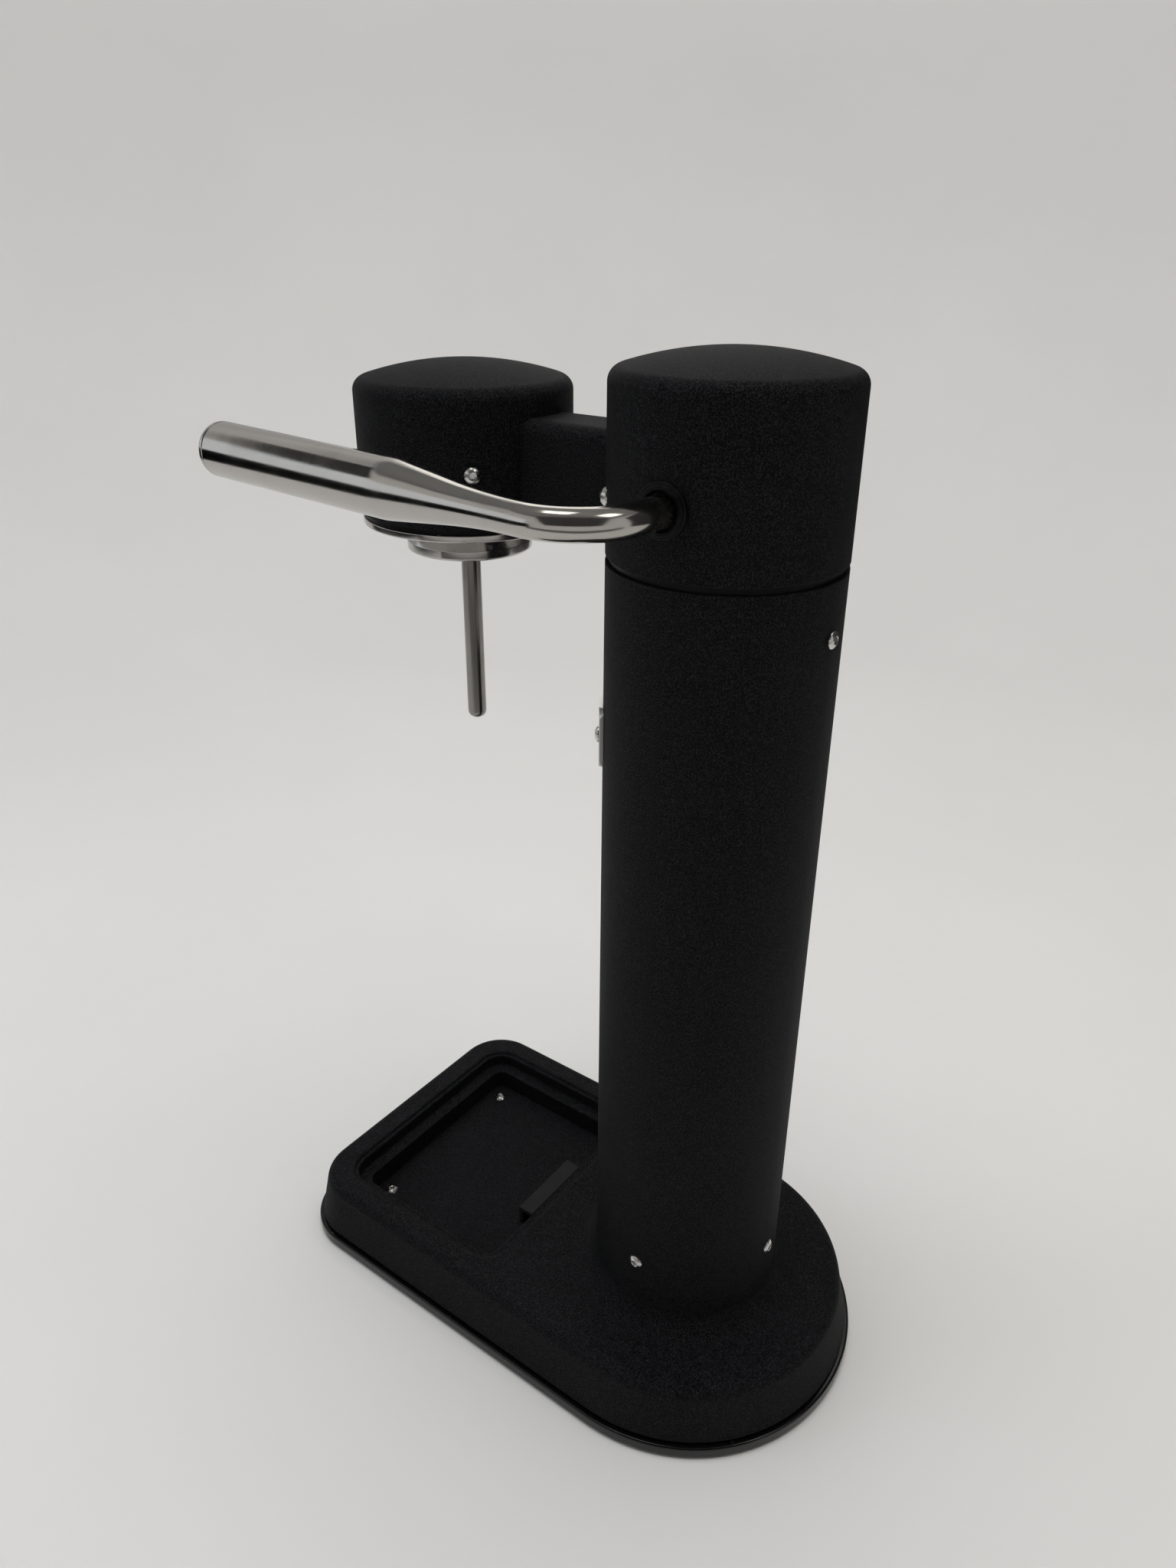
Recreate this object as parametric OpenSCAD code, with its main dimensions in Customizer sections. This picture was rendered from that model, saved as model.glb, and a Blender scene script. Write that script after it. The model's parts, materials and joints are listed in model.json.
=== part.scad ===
// Sparkling water maker with a pull lever: a long base, a round column that holds
// the gas cylinder, a drum with the valve mechanism on top, and a bridge to the
// head with the bottle collar and the nozzle.
// Origin: the column's axis on the standing plane. The front is -Y, the lever side +X.

/* [Overall] */
// Outer diameter of the column, the drum and the head
column_d = 79; // [77:0.5:84]
// Distance from the column's axis to the nozzle's axis
reach = 112; // [104:0.5:124]
// Length of the column tube
tube_l = 301.1; // [260:0.1:340]
// Height of the drum above its lower edge
drum_h = 63; // [57:0.5:80]
// Height of the head above its lower edge
head_h = 52.2; // [48:0.1:70]

/* [Base] */
// Width of the base plate, whose rear end is half a circle
base_w = 151; // [146:0.5:170]
// Distance from the column's axis to the base's front edge
base_front = 178.5; // [174:0.5:200]
// Corner radius of the base plate at the front
base_corner_r = 28; // [22:0.5:34]
// Height of the rubber foot
foot_h = 1.5; // [1.2:0.1:3]
// Distance of the rubber foot's edge from the plate's edge
foot_inset = 6; // [4:0.5:10]
// Thickness of the base plate's lip
plate_h = 4.5; // [3.5:0.1:6]
// Height of the shadow groove above the lip
groove_h = 1.5; // [1:0.1:2.5]
// Depth of the shadow groove behind the lip's edge
groove_in = 3.6; // [3:0.1:5]
// Height of the housing's side wall above the groove
housing_h = 22.8; // [21.5:0.1:27]
// Distance of the housing's lower edge from the plate's edge
lip_in = 2; // [1:0.1:2.6]
// Lean of the housing's side wall between its lower and upper edge
wall_lean = 4.6; // [3:0.1:7]
// Wall thickness of the base housing
base_wall = 3; // [2:0.1:4]
// Edge radius round the housing's top
base_edge_r = 4; // [1.5:0.1:5]

/* [Drip tray recess] */
// Width of the recess
tray_w = 112; // [100:0.5:114]
// Length of the recess
tray_l = 91; // [80:0.5:93]
// Distance from the column's axis to the recess's rear wall
tray_rear = 67.3; // [64:0.1:70]
// Corner radius of the recess
tray_corner_r = 11; // [9:0.5:14]
// Radius of the recess's rounded rim
rim_r = 3; // [1:0.1:4]
// Depth of the ledge that carries a tray
ledge_drop = 7.5; // [5:0.1:9]
// Width of that ledge
ledge_w = 6; // [4:0.1:8]
// Depth of the recess floor below the ledge
tub_depth = 10.4; // [8:0.1:11]
// Wall and floor thickness of the recess
tub_wall = 2.5; // [1.5:0.1:3]
// Width of the tray catch
catch_w = 37.6; // [30:0.1:46]
// How far the tray catch stands out from the ledge
catch_reach = 8.1; // [6:0.1:12]
// Sheet thickness of the tray catch
catch_t = 2.2; // [1.5:0.1:3]

/* [Column] */
// Wall thickness of the column tube
tube_wall = 2; // [1.5:0.1:2.5]
// Height of the base's neck above the housing's top
neck_h = 17.2; // [15:0.1:24]
// Fillet radius between the neck and the housing's top
neck_fillet = 11; // [8:0.5:14]
// Wall thickness of the spigot inside the tube
spigot_wall = 3.35; // [2.5:0.05:4]
// Height of the spigot inside the tube's lower end
spigot_h = 24.5; // [18:0.5:34]
// Height of the lower screws above the tube's lower edge
foot_screw_up = 14.5; // [10:0.5:16]
// Depth of the upper screws below the tube's upper edge
top_screw_down = 18.6; // [15:0.1:22]
// Height of the ring between the tube and the drum
parting_h = 2.4; // [1.5:0.1:3.5]
// Depth of that ring behind the column's surface
parting_in = 1.2; // [0.6:0.1:1.6]

/* [Front plate] */
// Height of the plate on the column's front
plate_tall = 22.5; // [16:0.5:30]
// Thickness of that plate
plate_t = 1.4; // [1:0.1:2]
// Angle from the plate's middle to its end
plate_half_angle = 42; // [40:1:50]
// Angle from the plate's middle to each of its screws
plate_screw_angle = 33; // [28:1:34]
// Corner radius of the plate
plate_corner_r = 4; // [2:0.5:6]
// Depth of the plate's upper edge below the tube's upper edge
plate_down = 51.6; // [44:0.1:80]

/* [Drum, bridge and head] */
// Wall thickness of the drum and the head
shell_wall = 2.5; // [2:0.1:3]
// Rise of the crowned tops
crown = 6.6; // [4:0.1:8]
// Edge radius of the crowned tops
crown_edge_r = 3; // [2:0.1:6]
// Width of the bridge
bridge_w = 27; // [23:0.5:29]
// Height of the bridge above the drum's lower edge
bridge_h = 36.3; // [32:0.1:40]
// Radius of the bridge's upper edges
bridge_edge_r = 5; // [4:0.5:10]
// Wall thickness of the bridge
bridge_wall = 2.5; // [2:0.1:3]
// Thickness of the bridge's curved end flanges
saddle_t = 2.85; // [2.2:0.05:3.5]
// Angle from the bridge's middle to the end of its flanges
saddle_half_angle = 54; // [50:1:58]
// Angle from the bridge to the drum's screws
drum_screw_angle = 41; // [38:1:44]
// Angle from the bridge to the head's screws
head_screw_angle = 45; // [40:1:48]
// Height of the drum's and head's screws above their lower edges
shell_screw_up = 18.8; // [16:0.1:22]

/* [Bottle collar and nozzle] */
// Height of the ring between the head and the flange
head_ring_h = 1.9; // [1:0.1:3]
// Distance of the flange's edge from the head's surface
flange_in = 0.3; // [0.1:0.1:1.5]
// Thickness of the flange
flange_h = 2.45; // [2:0.05:3.5]
// Height of the collar below the flange
collar_h = 10.85; // [9:0.05:14]
// Diameter of the collar's lip
lip_d = 47.4; // [46.4:0.1:52]
// Height of the lip's round wall
lip_h = 2.5; // [1.5:0.1:4]
// Inner diameter of the bottle socket
socket_d = 41; // [38:0.1:42]
// Wall thickness of the socket
socket_wall = 1.5; // [1.2:0.1:2]
// Depth of the socket above the flange's lower face
socket_up = 6.35; // [5.5:0.05:8]
// Diameter of the nozzle
nozzle_d = 7.4; // [6.6:0.1:8]
// Edge radius of the nozzle's tip
nozzle_tip_r = 2.8; // [1:0.1:3]
// Bore of the nozzle
nozzle_bore = 2.5; // [1.5:0.1:3]
// Length of the nozzle below the collar
nozzle_l = 70.8; // [50:0.1:90]

/* [Lever] */
// Height of the lever's pivot above the drum's lower edge
pivot_up = 21; // [20:0.1:23]
// Angle of the lever above level at rest
lever_rest = 1.1; // [0:0.1:4]
// Pull of the lever from rest
lever_pull = 50; // [30:1:60]
// Distance from the column's axis to the start of the rod's bend, sideways
bend_out = 50.5; // [47:0.5:60]
// Bend radius of the rod
rod_bend_r = 24; // [20:0.5:30]
// Angle by which the grip leans in towards the head
lever_toe = 3; // [0:0.5:4]
// Length of the lever from its bend to its tip
lever_l = 142; // [135:0.5:180]
// Diameter of the lever's rod
rod_d = 10; // [9:0.1:10.6]
// Diameter of the grip
grip_d = 19; // [17:0.1:22]
// Length of the round grip
grip_l = 90; // [80:0.5:92]
// Length of the taper between the grip and the rod
taper_l = 37.5; // [30:0.5:38]
// Radius of the soft run from the rod into the taper
blend_r = 220; // [80:5:230]
// Wall thickness of the hollow grip
grip_wall = 2.5; // [1.5:0.1:4]
// Length of the grip's end cap
grip_cap_l = 3.2; // [2.8:0.1:5]
// Outer diameter of the bush round the rod
bush_d = 17; // [16.5:0.1:19]
// Gap between the rod and the bush
bush_gap = 1.2; // [0.8:0.1:1.4]
// How far the bush stands out of the drum
bush_proud = 1.5; // [0.8:0.1:2]

/* [Mechanism] */
// Travel of the tappet over the whole pull
tappet_travel = 3; // [2:0.1:4]
// Diameter of the cam shaft
shaft_d = 15; // [14:0.1:15.6]
// Radius of the cam's round part
cam_base_r = 9.5; // [9.3:0.1:9.8]
// Width of the cam
cam_w = 12; // [8:0.5:16]
// Gap between the cam shaft's end and the lever's bush
shaft_end_gap = 1.5; // [1:0.1:2]
// Thickness of the cheeks
cheek_t = 5; // [4:0.1:5.2]
// Gap between the tappet's disc and the gas tube
tappet_gap = 3.5; // [2.5:0.1:4]
// Thickness of the tappet's disc
tappet_t = 3; // [2:0.1:3.4]
// Diameter of the tappet's pin
tappet_pin_d = 5; // [4:0.1:6]
// Depth of the frame's floor below the drum's lower edge
floor_down = 5; // [4:0.1:6]
// Thickness of the frame's floor
floor_t = 5.4; // [4:0.1:6.5]
// Depth of the frame inside the column tube
frame_depth = 30; // [27:0.5:36]
// Wall thickness of the frame's ring inside the tube
frame_wall = 3.85; // [3.6:0.05:4.1]
// Distance of the gas receiver's wall from the tappet's edge
receiver_in = 4.5; // [4.2:0.1:5.5]
// Diameter of the receiver's thread for the gas cylinder
valve_thread_d = 21; // [20:0.1:22]
// Length of that thread
valve_thread_l = 22; // [18:0.5:24]
// Gap between the tappet at the end of its travel and the receiver
stop_gap = 0.3; // [0.2:0.05:0.6]
// Wire diameter of the return spring
wire_d = 1.8; // [1.2:0.1:2]
// Turns of the return spring
spring_turns = 3.5; // [3:0.5:4]
// Outer diameter of the gas tube
gas_tube_d = 5; // [4:0.1:6]
// Bore of the gas tube
gas_tube_bore = 3; // [2:0.1:3.4]
// Bend radius of the gas tube
gas_bend_r = 8; // [7:0.5:9]
// Gap between the outlet fitting and the frame's ring
fitting_gap = 1; // [0.6:0.1:1.4]

/* [Screws] */
// Thread diameter of the shell and tray screws
screw_d = 3; // [2.5:0.1:3.4]
// Diameter of their round heads
button_d = 6; // [5:0.1:6.4]
// Height of the column's and tray's screw heads
button_h = 1.65; // [1.2:0.05:2.4]
// Height of the drum's and head's screw heads
pan_h = 2.2; // [1.6:0.05:2.6]
// Thread diameter of the base's and receiver's screws
base_screw_d = 4; // [3:0.1:4.4]

/* [Clearances] */
// Gap between pieces that slip into each other
slip = 0.15; // [0.1:0.01:0.25]
// Radial gap of a turning or sliding fit
running = 0.05; // [0.02:0.01:0.1]
// Gap between the cam and the tappet
cam_gap = 0.2; // [0.1:0.05:0.3]

/* [Hidden] */
$fn = 96;
eps = 0.01;
arc_steps = 6;
// Depth by which a rounding runs into the face beside it
run_in = 0.04;

// Radii that follow from the column's diameter
column_r = column_d / 2;
tube_in_r = column_r - tube_wall;
spigot_r = tube_in_r - slip;
bay_r = spigot_r - spigot_wall;
shell_in_r = column_r - shell_wall;
frame_r = shell_in_r - slip;
saddle_in_r = frame_r - saddle_t;
lug_r = saddle_in_r - slip;
bridge_end_r = frame_r - saddle_t / 2;
frame_in_r = spigot_r - frame_wall;
flange_r = column_r - flange_in;

// Heights, from the table up
plate_z = foot_h;
groove_z = plate_z + plate_h;
housing_z = groove_z + groove_h;
base_z = housing_z + housing_h;
ledge_z = base_z - ledge_drop;
tub_z = ledge_z - tub_depth;
neck_z = base_z + neck_h;
tube_top_z = neck_z + tube_l;
parting_z = tube_top_z + parting_h;
drum_z = parting_z + drum_h;
head_z = parting_z + head_h;
flange_z = parting_z - head_ring_h - flange_h;
flange_top_z = flange_z + flange_h;
collar_z = flange_z - collar_h;
socket_z = flange_z + socket_up;
pivot_z = parting_z + pivot_up;
shell_screw_z = parting_z + shell_screw_up;
floor_z = parting_z - floor_down;

// Base outline
base_r = base_w / 2;
front_corner_x = base_r - base_corner_r;
front_corner_y = base_corner_r - base_front;
housing_low = lip_in;
housing_top = lip_in + wall_lean;
tray_half = tray_w / 2;
tray_y = [-tray_rear - tray_l, -tray_rear];
boss_r = 4;
boss_sink = 1;
boss_depth = 12;
boss_places = [
    for (side = [-1, 1]) [side * (tray_half + tub_wall + boss_r - boss_sink), tray_y[0] + tray_l / 2],
    for (side = [-1, 1]) [side * 0.62 * base_r, 0.45 * base_r]
];
counterbore_h = 2.8;
tray_screw_in = 14.4;
tray_screw_places = [
    for (side = [-1, 1]) [side * (tray_half - tray_screw_in), tray_y[0] + tray_screw_in - 1.3]
];
tray_thread_l = 4;
tray_thread_end = 0.5;

// Screw lengths
foot_shank_l = tube_wall + slip + spigot_wall - 0.3;
top_shank_l = tube_wall + slip + 3;
plate_shank_l = plate_t + tube_wall - 0.2;
shell_shank_l = shell_wall + slip + saddle_t + slip + 3.5;
lug_t = 6;
lug_half_angle = 8;
lug_up = 5.5;

// Mechanism, inwards from the frame's ring
fitting_d = 8;
fitting_proud = 3.5;
gas_rise = frame_in_r - fitting_gap - fitting_d / 2;
tappet_r = gas_rise - gas_tube_d / 2 - tappet_gap;
receiver_r = tappet_r - receiver_in;
bush_sleeve = 2;
bush_in = shell_in_r - bush_sleeve;
shaft_half = bush_in - shaft_end_gap;
shaft_end = 2.5;
cheek_in = shaft_half - shaft_end - cheek_t;

// Mechanism, downwards from the lever's pivot
cam_rate = tappet_travel / (lever_pull * PI / 180);
tappet_z = pivot_z - cam_base_r - cam_gap;
tappet_low_z = tappet_z - tappet_t;
receiver_z = tappet_low_z - tappet_travel - stop_gap;
roof_h = 3;
chamber_h = 3;
gasket_h = 2;
roof_z = receiver_z - roof_h;
chamber_z = roof_z - chamber_h;
thread_top_z = chamber_z - gasket_h;
receiver_low_z = thread_top_z - valve_thread_l;
receiver_flange_h = 6;
receiver_flange_z = floor_z - floor_t - receiver_flange_h;
receiver_flange_r = 29;
receiver_screw_r = 24;
port_block_w = 10;
port_block_out = frame_in_r - 0.5;
port_block_sink = 2;
gasket_r = valve_thread_d / 2 + 0.5;
chamber_r = 5;
seal_wire_d = 1.6;
port_r = 1.25;
port_in = valve_thread_d / 4 + receiver_r / 2;
spring_gap = 0.8;
spring_r = receiver_r + spring_gap + wire_d;
spring_end_gap = 0.1;
bearing_wall = 2;
bearing_flange_h = 1.5;
rod_socket_x = 12;
pin_d = 3;
lever_pin_x = 17;
ring_groove = 0.6;
cheek_half = 12;
spot_x = sqrt(pow(column_r, 2) - pow(bush_d / 2, 2)) - 0.2;
sleeve_d = rod_d + 2 * bush_gap + 2.8;

// Gas tube and fittings
gas_run_z = parting_z + bridge_h - bridge_wall - gas_tube_d - 2;
head_fitting_d = 15;
fitting_h = 6;
fitting_spigot_d = 9.9;
core_h = 12.9;
core_z = flange_top_z + core_h;
core_fitting_depth = 4;
nozzle_spigot_d = 8;
nozzle_shoulder_d = 13;
seal_h = 3;
seal_in_r = 13.5;
relief_d = 8;
relief_out = 14.5;
relief_hex_d = 12;
relief_hex_h = 4;
relief_h = 9;
flange_screw_r = 29;
flange_edge_r = 0.6;

// Points of an arc about a centre, from one angle to another
function arc(c, r, a0, a1, n = arc_steps) =
    [for (i = [0 : n]) c + r * [cos(a0 + (a1 - a0) * i / n), sin(a0 + (a1 - a0) * i / n)]];

// Outline of a crowned round top, from the axis out to the wall
function crowned(r, top, rise, edge) =
    let (
        big = (r * r + rise * rise) / (2 * rise),
        c = [0, top - big],
        e = [r - edge, c[1] + sqrt(pow(big - edge, 2) - pow(r - edge, 2))],
        a = atan2(e[1] - c[1], e[0])
    )
    concat(arc(c, big, 90, a), arc(e, edge, a, 0));

// Outline of a leaning wall with a rounded upper edge, from its foot to the top
function leaning_wall(low, top, z0, z1, edge) =
    let (
        run = norm([low - top, z1 - z0]),
        n = [z1 - z0, low - top] / run,
        c = [low - (edge + n[1] * (z1 - edge - z0)) / n[0], z1 - edge]
    )
    concat([[0, z0], [low, z0]], arc(c, edge, atan2(n[1], n[0]), 90), [[0, z1]]);

// Places a child on a round wall, at an angle from the front towards +X, pointing outwards
module on_wall(angle, z, r) {
    rotate([0, 0, angle])
        translate([0, -r, z])
            rotate([90, 0, 0])
                children();
}

// Round-headed screw: the head stands up from z = 0 and the shank goes down
module screw(thread_d, head_d, head_h, shank_l) {
    dome = (head_d * head_d / 4 + head_h * head_h) / (2 * head_h);
    difference() {
        union() {
            intersection() {
                cylinder(d = head_d, h = head_h);
                translate([0, 0, head_h - dome])
                    sphere(r = dome);
            }
            translate([0, 0, -shank_l])
                cylinder(d = thread_d, h = shank_l + head_h / 2);
        }
        translate([0, 0, head_h * 0.45])
            cylinder(d = head_d * 0.42, h = head_h, $fn = 6);
    }
}

module ring(r_out, r_in, h) {
    difference() {
        cylinder(r = r_out, h = h);
        translate([0, 0, -eps])
            cylinder(r = r_in, h = h + 2 * eps);
    }
}

// Part of a ring, spread evenly about the front
module ring_sector(r_out, r_in, h, half_angle) {
    rotate([0, 0, -90 - half_angle])
        rotate_extrude(angle = 2 * half_angle)
            translate([r_in, 0])
                square([r_out - r_in, h]);
}

module rounded_rect(x0, x1, y0, y1, r) {
    translate([x0 + r, y0])
        square([x1 - x0 - 2 * r, y1 - y0]);
    translate([x0, y0 + r])
        square([x1 - x0, y1 - y0 - 2 * r]);
    for (x = [x0 + r, x1 - r], y = [y0 + r, y1 - r])
        translate([x, y])
            circle(r = r);
}

// Plan of the base, drawn in from the plate's edge
module base_plan(inset) {
    half = base_r - inset;
    corner = base_corner_r - inset;
    circle(r = half);
    translate([-half, front_corner_y])
        square([2 * half, -front_corner_y]);
    translate([-front_corner_x, inset - base_front])
        square([2 * front_corner_x, corner + eps]);
    for (side = [-1, 1])
        translate([side * front_corner_x, front_corner_y])
            circle(r = corner);
}

// Solid of the base housing with leaning walls and a rounded upper edge: half round at the rear,
// straight at the sides and the front, a quarter round at each front corner
module base_block() {
    wide = leaning_wall(base_r - housing_low, base_r - housing_top, housing_z, base_z, base_edge_r);
    tight = leaning_wall(base_corner_r - housing_low, base_corner_r - housing_top,
                         housing_z, base_z, base_edge_r);
    rotate_extrude(angle = 180)
        polygon(wide);
    rotate([90, 0, 0])
        linear_extrude(-front_corner_y)
            polygon(concat(wide, [for (i = [len(wide) - 2 : -1 : 1]) [-wide[i][0], wide[i][1]]]));
    translate([-front_corner_x, front_corner_y, 0])
        rotate([90, 0, 90])
            linear_extrude(2 * front_corner_x)
                mirror([1, 0])
                    polygon(tight);
    translate([front_corner_x, front_corner_y, 0])
        rotate([0, 0, -90])
            rotate_extrude(angle = 90)
                polygon(tight);
    translate([-front_corner_x, front_corner_y, 0])
        rotate([0, 0, 180])
            rotate_extrude(angle = 90)
                polygon(tight);
}

// Neck that carries the column: the flared foot and the spigot inside the tube
module neck() {
    rotate_extrude() {
        translate([bay_r, housing_z])
            square([column_r - bay_r, neck_z - housing_z]);
        translate([bay_r, neck_z - eps])
            square([spigot_r - bay_r, spigot_h + eps]);
        difference() {
            translate([column_r - eps, base_z - eps])
                square(neck_fillet + eps);
            translate([column_r + neck_fillet, base_z + neck_fillet - run_in])
                circle(r = neck_fillet);
        }
    }
}

// Rounded rim of the recess, as what is cut away
module rim_section() {
    difference() {
        translate([-eps, -rim_r])
            square([rim_r + eps, rim_r + eps]);
        translate([rim_r - run_in, run_in - rim_r])
            circle(r = rim_r);
    }
}

module rim_cut() {
    inner_x = tray_half - tray_corner_r;
    inner_y = [tray_y[0] + tray_corner_r, tray_y[1] - tray_corner_r];
    translate([0, 0, base_z]) {
        for (side = [0, 1])
            mirror([side, 0, 0])
                translate([tray_half, inner_y[1], 0])
                    rotate([90, 0, 0])
                        linear_extrude(inner_y[1] - inner_y[0])
                            rim_section();
        for (end = [0, 1])
            translate([0, end == 0 ? tray_y[0] : tray_y[1], 0])
                mirror([0, 1 - end, 0])
                    translate([-inner_x, 0, 0])
                        rotate([90, 0, 90])
                            linear_extrude(2 * inner_x)
                                rim_section();
        for (side = [0, 1], end = [0, 1])
            translate([0, inner_y[end], 0])
                mirror([side, 0, 0])
                    mirror([0, 1 - end, 0])
                        translate([inner_x, 0, 0])
                            rotate_extrude(angle = 90)
                                translate([tray_corner_r, 0])
                                    rim_section();
    }
}

module recess_cut() {
    translate([0, 0, ledge_z])
        linear_extrude(ledge_drop + 1)
            rounded_rect(-tray_half, tray_half, tray_y[0], tray_y[1], tray_corner_r);
    translate([0, 0, tub_z])
        linear_extrude(tub_depth + 1)
            rounded_rect(ledge_w - tray_half, tray_half - ledge_w, tray_y[0] + ledge_w,
                         tray_y[1] - ledge_w, tray_corner_r - ledge_w);
    rim_cut();
}

// Hollow of the base housing round the recess, the neck and the screw bosses
module base_hollow() {
    difference() {
        translate([0, 0, housing_z - 1])
            linear_extrude(housing_h - base_wall + 1)
                base_plan(housing_top + base_wall);
        translate([0, 0, ledge_z - tub_wall])
            linear_extrude(ledge_drop + tub_wall)
                rounded_rect(-tray_half - tub_wall, tray_half + tub_wall, tray_y[0] - tub_wall,
                             tray_y[1] + tub_wall, tray_corner_r + tub_wall);
        translate([0, 0, tub_z - tub_wall])
            linear_extrude(tub_depth + tub_wall)
                rounded_rect(ledge_w - tray_half - tub_wall, tray_half - ledge_w + tub_wall,
                             tray_y[0] + ledge_w - tub_wall, tray_y[1] - ledge_w + tub_wall,
                             tray_corner_r - ledge_w + tub_wall);
        cylinder(r = bay_r + base_wall, h = base_z);
        for (p = boss_places)
            translate(p)
                cylinder(r = boss_r, h = base_z);
    }
}

module base_housing() {
    color("#1d1d1f")
        difference() {
            union() {
                base_block();
                neck();
            }
            base_hollow();
            recess_cut();
            translate([0, 0, housing_z - 1])
                cylinder(r = bay_r, h = neck_z + spigot_h);
            for (p = boss_places)
                translate([p[0], p[1], housing_z - 1])
                    cylinder(d = base_screw_d + 2 * running, h = boss_depth + 1);
            for (p = tray_screw_places)
                translate([p[0], p[1], tub_z - tub_wall - 1])
                    cylinder(d = screw_d + 2 * slip, h = tub_wall + 2);
            for (quarter = [0 : 3])
                on_wall(90 * quarter, neck_z + foot_screw_up, bay_r - 1)
                    cylinder(d = screw_d + 2 * running, h = spigot_wall + 2);
        }
}

module base_plate() {
    color("#08080a")
        difference() {
            union() {
                translate([0, 0, plate_z])
                    linear_extrude(plate_h)
                        base_plan(0);
                translate([0, 0, groove_z - eps])
                    linear_extrude(groove_h + eps)
                        base_plan(groove_in);
            }
            translate([0, 0, plate_z - 1])
                cylinder(r = bay_r, h = plate_h + groove_h + 2);
            for (p = boss_places)
                translate([p[0], p[1], plate_z - 1]) {
                    cylinder(d = base_screw_d + 2 * slip, h = plate_h + groove_h + 2);
                    cylinder(d = 2 * base_screw_d + 2 * slip, h = counterbore_h + 1);
                }
            for (p = tray_screw_places)
                translate([p[0], p[1], housing_z - tray_thread_l - tray_thread_end])
                    cylinder(d = screw_d + 2 * running, h = tray_thread_l + tray_thread_end + 1);
        }
}

module foot_mat() {
    color("#151515")
        difference() {
            linear_extrude(foot_h)
                base_plan(foot_inset);
            translate([0, 0, -1])
                cylinder(r = bay_r, h = foot_h + 2);
        }
}

module base_screws() {
    color("#c8c8ca")
        for (p = boss_places)
            translate([p[0], p[1], plate_z + counterbore_h])
                mirror([0, 0, 1])
                    screw(base_screw_d, 2 * base_screw_d, counterbore_h - 0.3,
                          plate_h + groove_h - counterbore_h + boss_depth - 2);
}

module tray_screws() {
    color("#d8d8da")
        for (p = tray_screw_places)
            translate([p[0], p[1], tub_z])
                screw(screw_d, button_d, button_h, tub_z - housing_z + tray_thread_l);
}

module tray_catch() {
    catch_y = tray_y[1] - ledge_w;
    color("#2a2a2c") {
        translate([-catch_w / 2, catch_y - catch_reach, ledge_z - catch_t])
            cube([catch_w, catch_reach, catch_t]);
        translate([-catch_w / 2, catch_y - catch_reach, tub_z])
            cube([catch_w, catch_t, tub_depth - catch_t + eps]);
    }
}

module column_tube() {
    color("#1d1d1f")
        difference() {
            translate([0, 0, neck_z])
                ring(column_r, tube_in_r, tube_l);
            for (quarter = [0 : 3])
                on_wall(90 * quarter, neck_z + foot_screw_up, tube_in_r - 1)
                    cylinder(d = screw_d + 2 * slip, h = tube_wall + 2);
            for (end = [0, 180])
                on_wall(end, tube_top_z - top_screw_down, tube_in_r - 1)
                    cylinder(d = screw_d + 2 * slip, h = tube_wall + 2);
            for (side = [-1, 1])
                on_wall(side * plate_screw_angle, tube_top_z - plate_down - plate_tall / 2, tube_in_r - 1)
                    cylinder(d = screw_d + 2 * running, h = tube_wall + 2);
        }
}

module column_foot_screws() {
    color("#d8d8da")
        for (quarter = [0 : 3])
            on_wall(90 * quarter, neck_z + foot_screw_up, column_r)
                screw(screw_d, button_d, button_h, foot_shank_l);
}

module column_top_screws() {
    color("#d8d8da")
        for (end = [0, 180])
            on_wall(end, tube_top_z - top_screw_down, column_r)
                screw(screw_d, button_d, button_h, top_shank_l);
}

module front_plate() {
    half = (column_r + plate_t) * sin(plate_half_angle);
    low_z = tube_top_z - plate_down - plate_tall;
    color("#c4c4c8")
        difference() {
            intersection() {
                translate([0, 0, low_z])
                    ring_sector(column_r + plate_t, column_r + running, plate_tall, plate_half_angle);
                rotate([90, 0, 0])
                    linear_extrude(2 * column_r)
                        rounded_rect(-half, half, low_z, low_z + plate_tall, plate_corner_r);
            }
            for (side = [-1, 1])
                on_wall(side * plate_screw_angle, low_z + plate_tall / 2, column_r - 1)
                    cylinder(d = screw_d + 2 * slip, h = plate_t + 2);
        }
}

module front_plate_screws() {
    color("#d8d8da")
        for (side = [-1, 1])
            on_wall(side * plate_screw_angle, tube_top_z - plate_down - plate_tall / 2, column_r + plate_t)
                screw(screw_d, button_d, button_h, plate_shank_l);
}

module parting_ring() {
    color("#08080a")
        translate([0, 0, tube_top_z])
            ring(column_r - parting_in, frame_r + running, parting_h);
}

// Cross-section of the bridge, standing on the drum's lower edge
module bridge_section(grow, edge) {
    half = bridge_w / 2 + grow;
    top = bridge_h + grow;
    translate([-half, -grow])
        square([2 * half, top + grow - edge]);
    translate([edge - half, -grow])
        square([2 * (half - edge), top + grow]);
    for (side = [-1, 1])
        translate([side * (half - edge), top - edge])
            circle(r = edge);
}

// Prism with the bridge's cross-section, from the column's axis to the head's axis
module bridge_prism(grow, edge) {
    translate([0, 0, parting_z])
        rotate([90, 0, 0])
            linear_extrude(reach)
                bridge_section(grow, edge);
}

// Shell with a crowned top, open below, with a window for the bridge
module crowned_shell(top) {
    difference() {
        rotate_extrude()
            polygon(concat(crowned(column_r, top, crown, crown_edge_r),
                           [[column_r, parting_z], [shell_in_r, parting_z]],
                           [for (i = [2 * arc_steps + 1 : -1 : 0])
                               crowned(shell_in_r, top - shell_wall, crown, crown_edge_r - 1)[i]]));
        children();
    }
}

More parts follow.
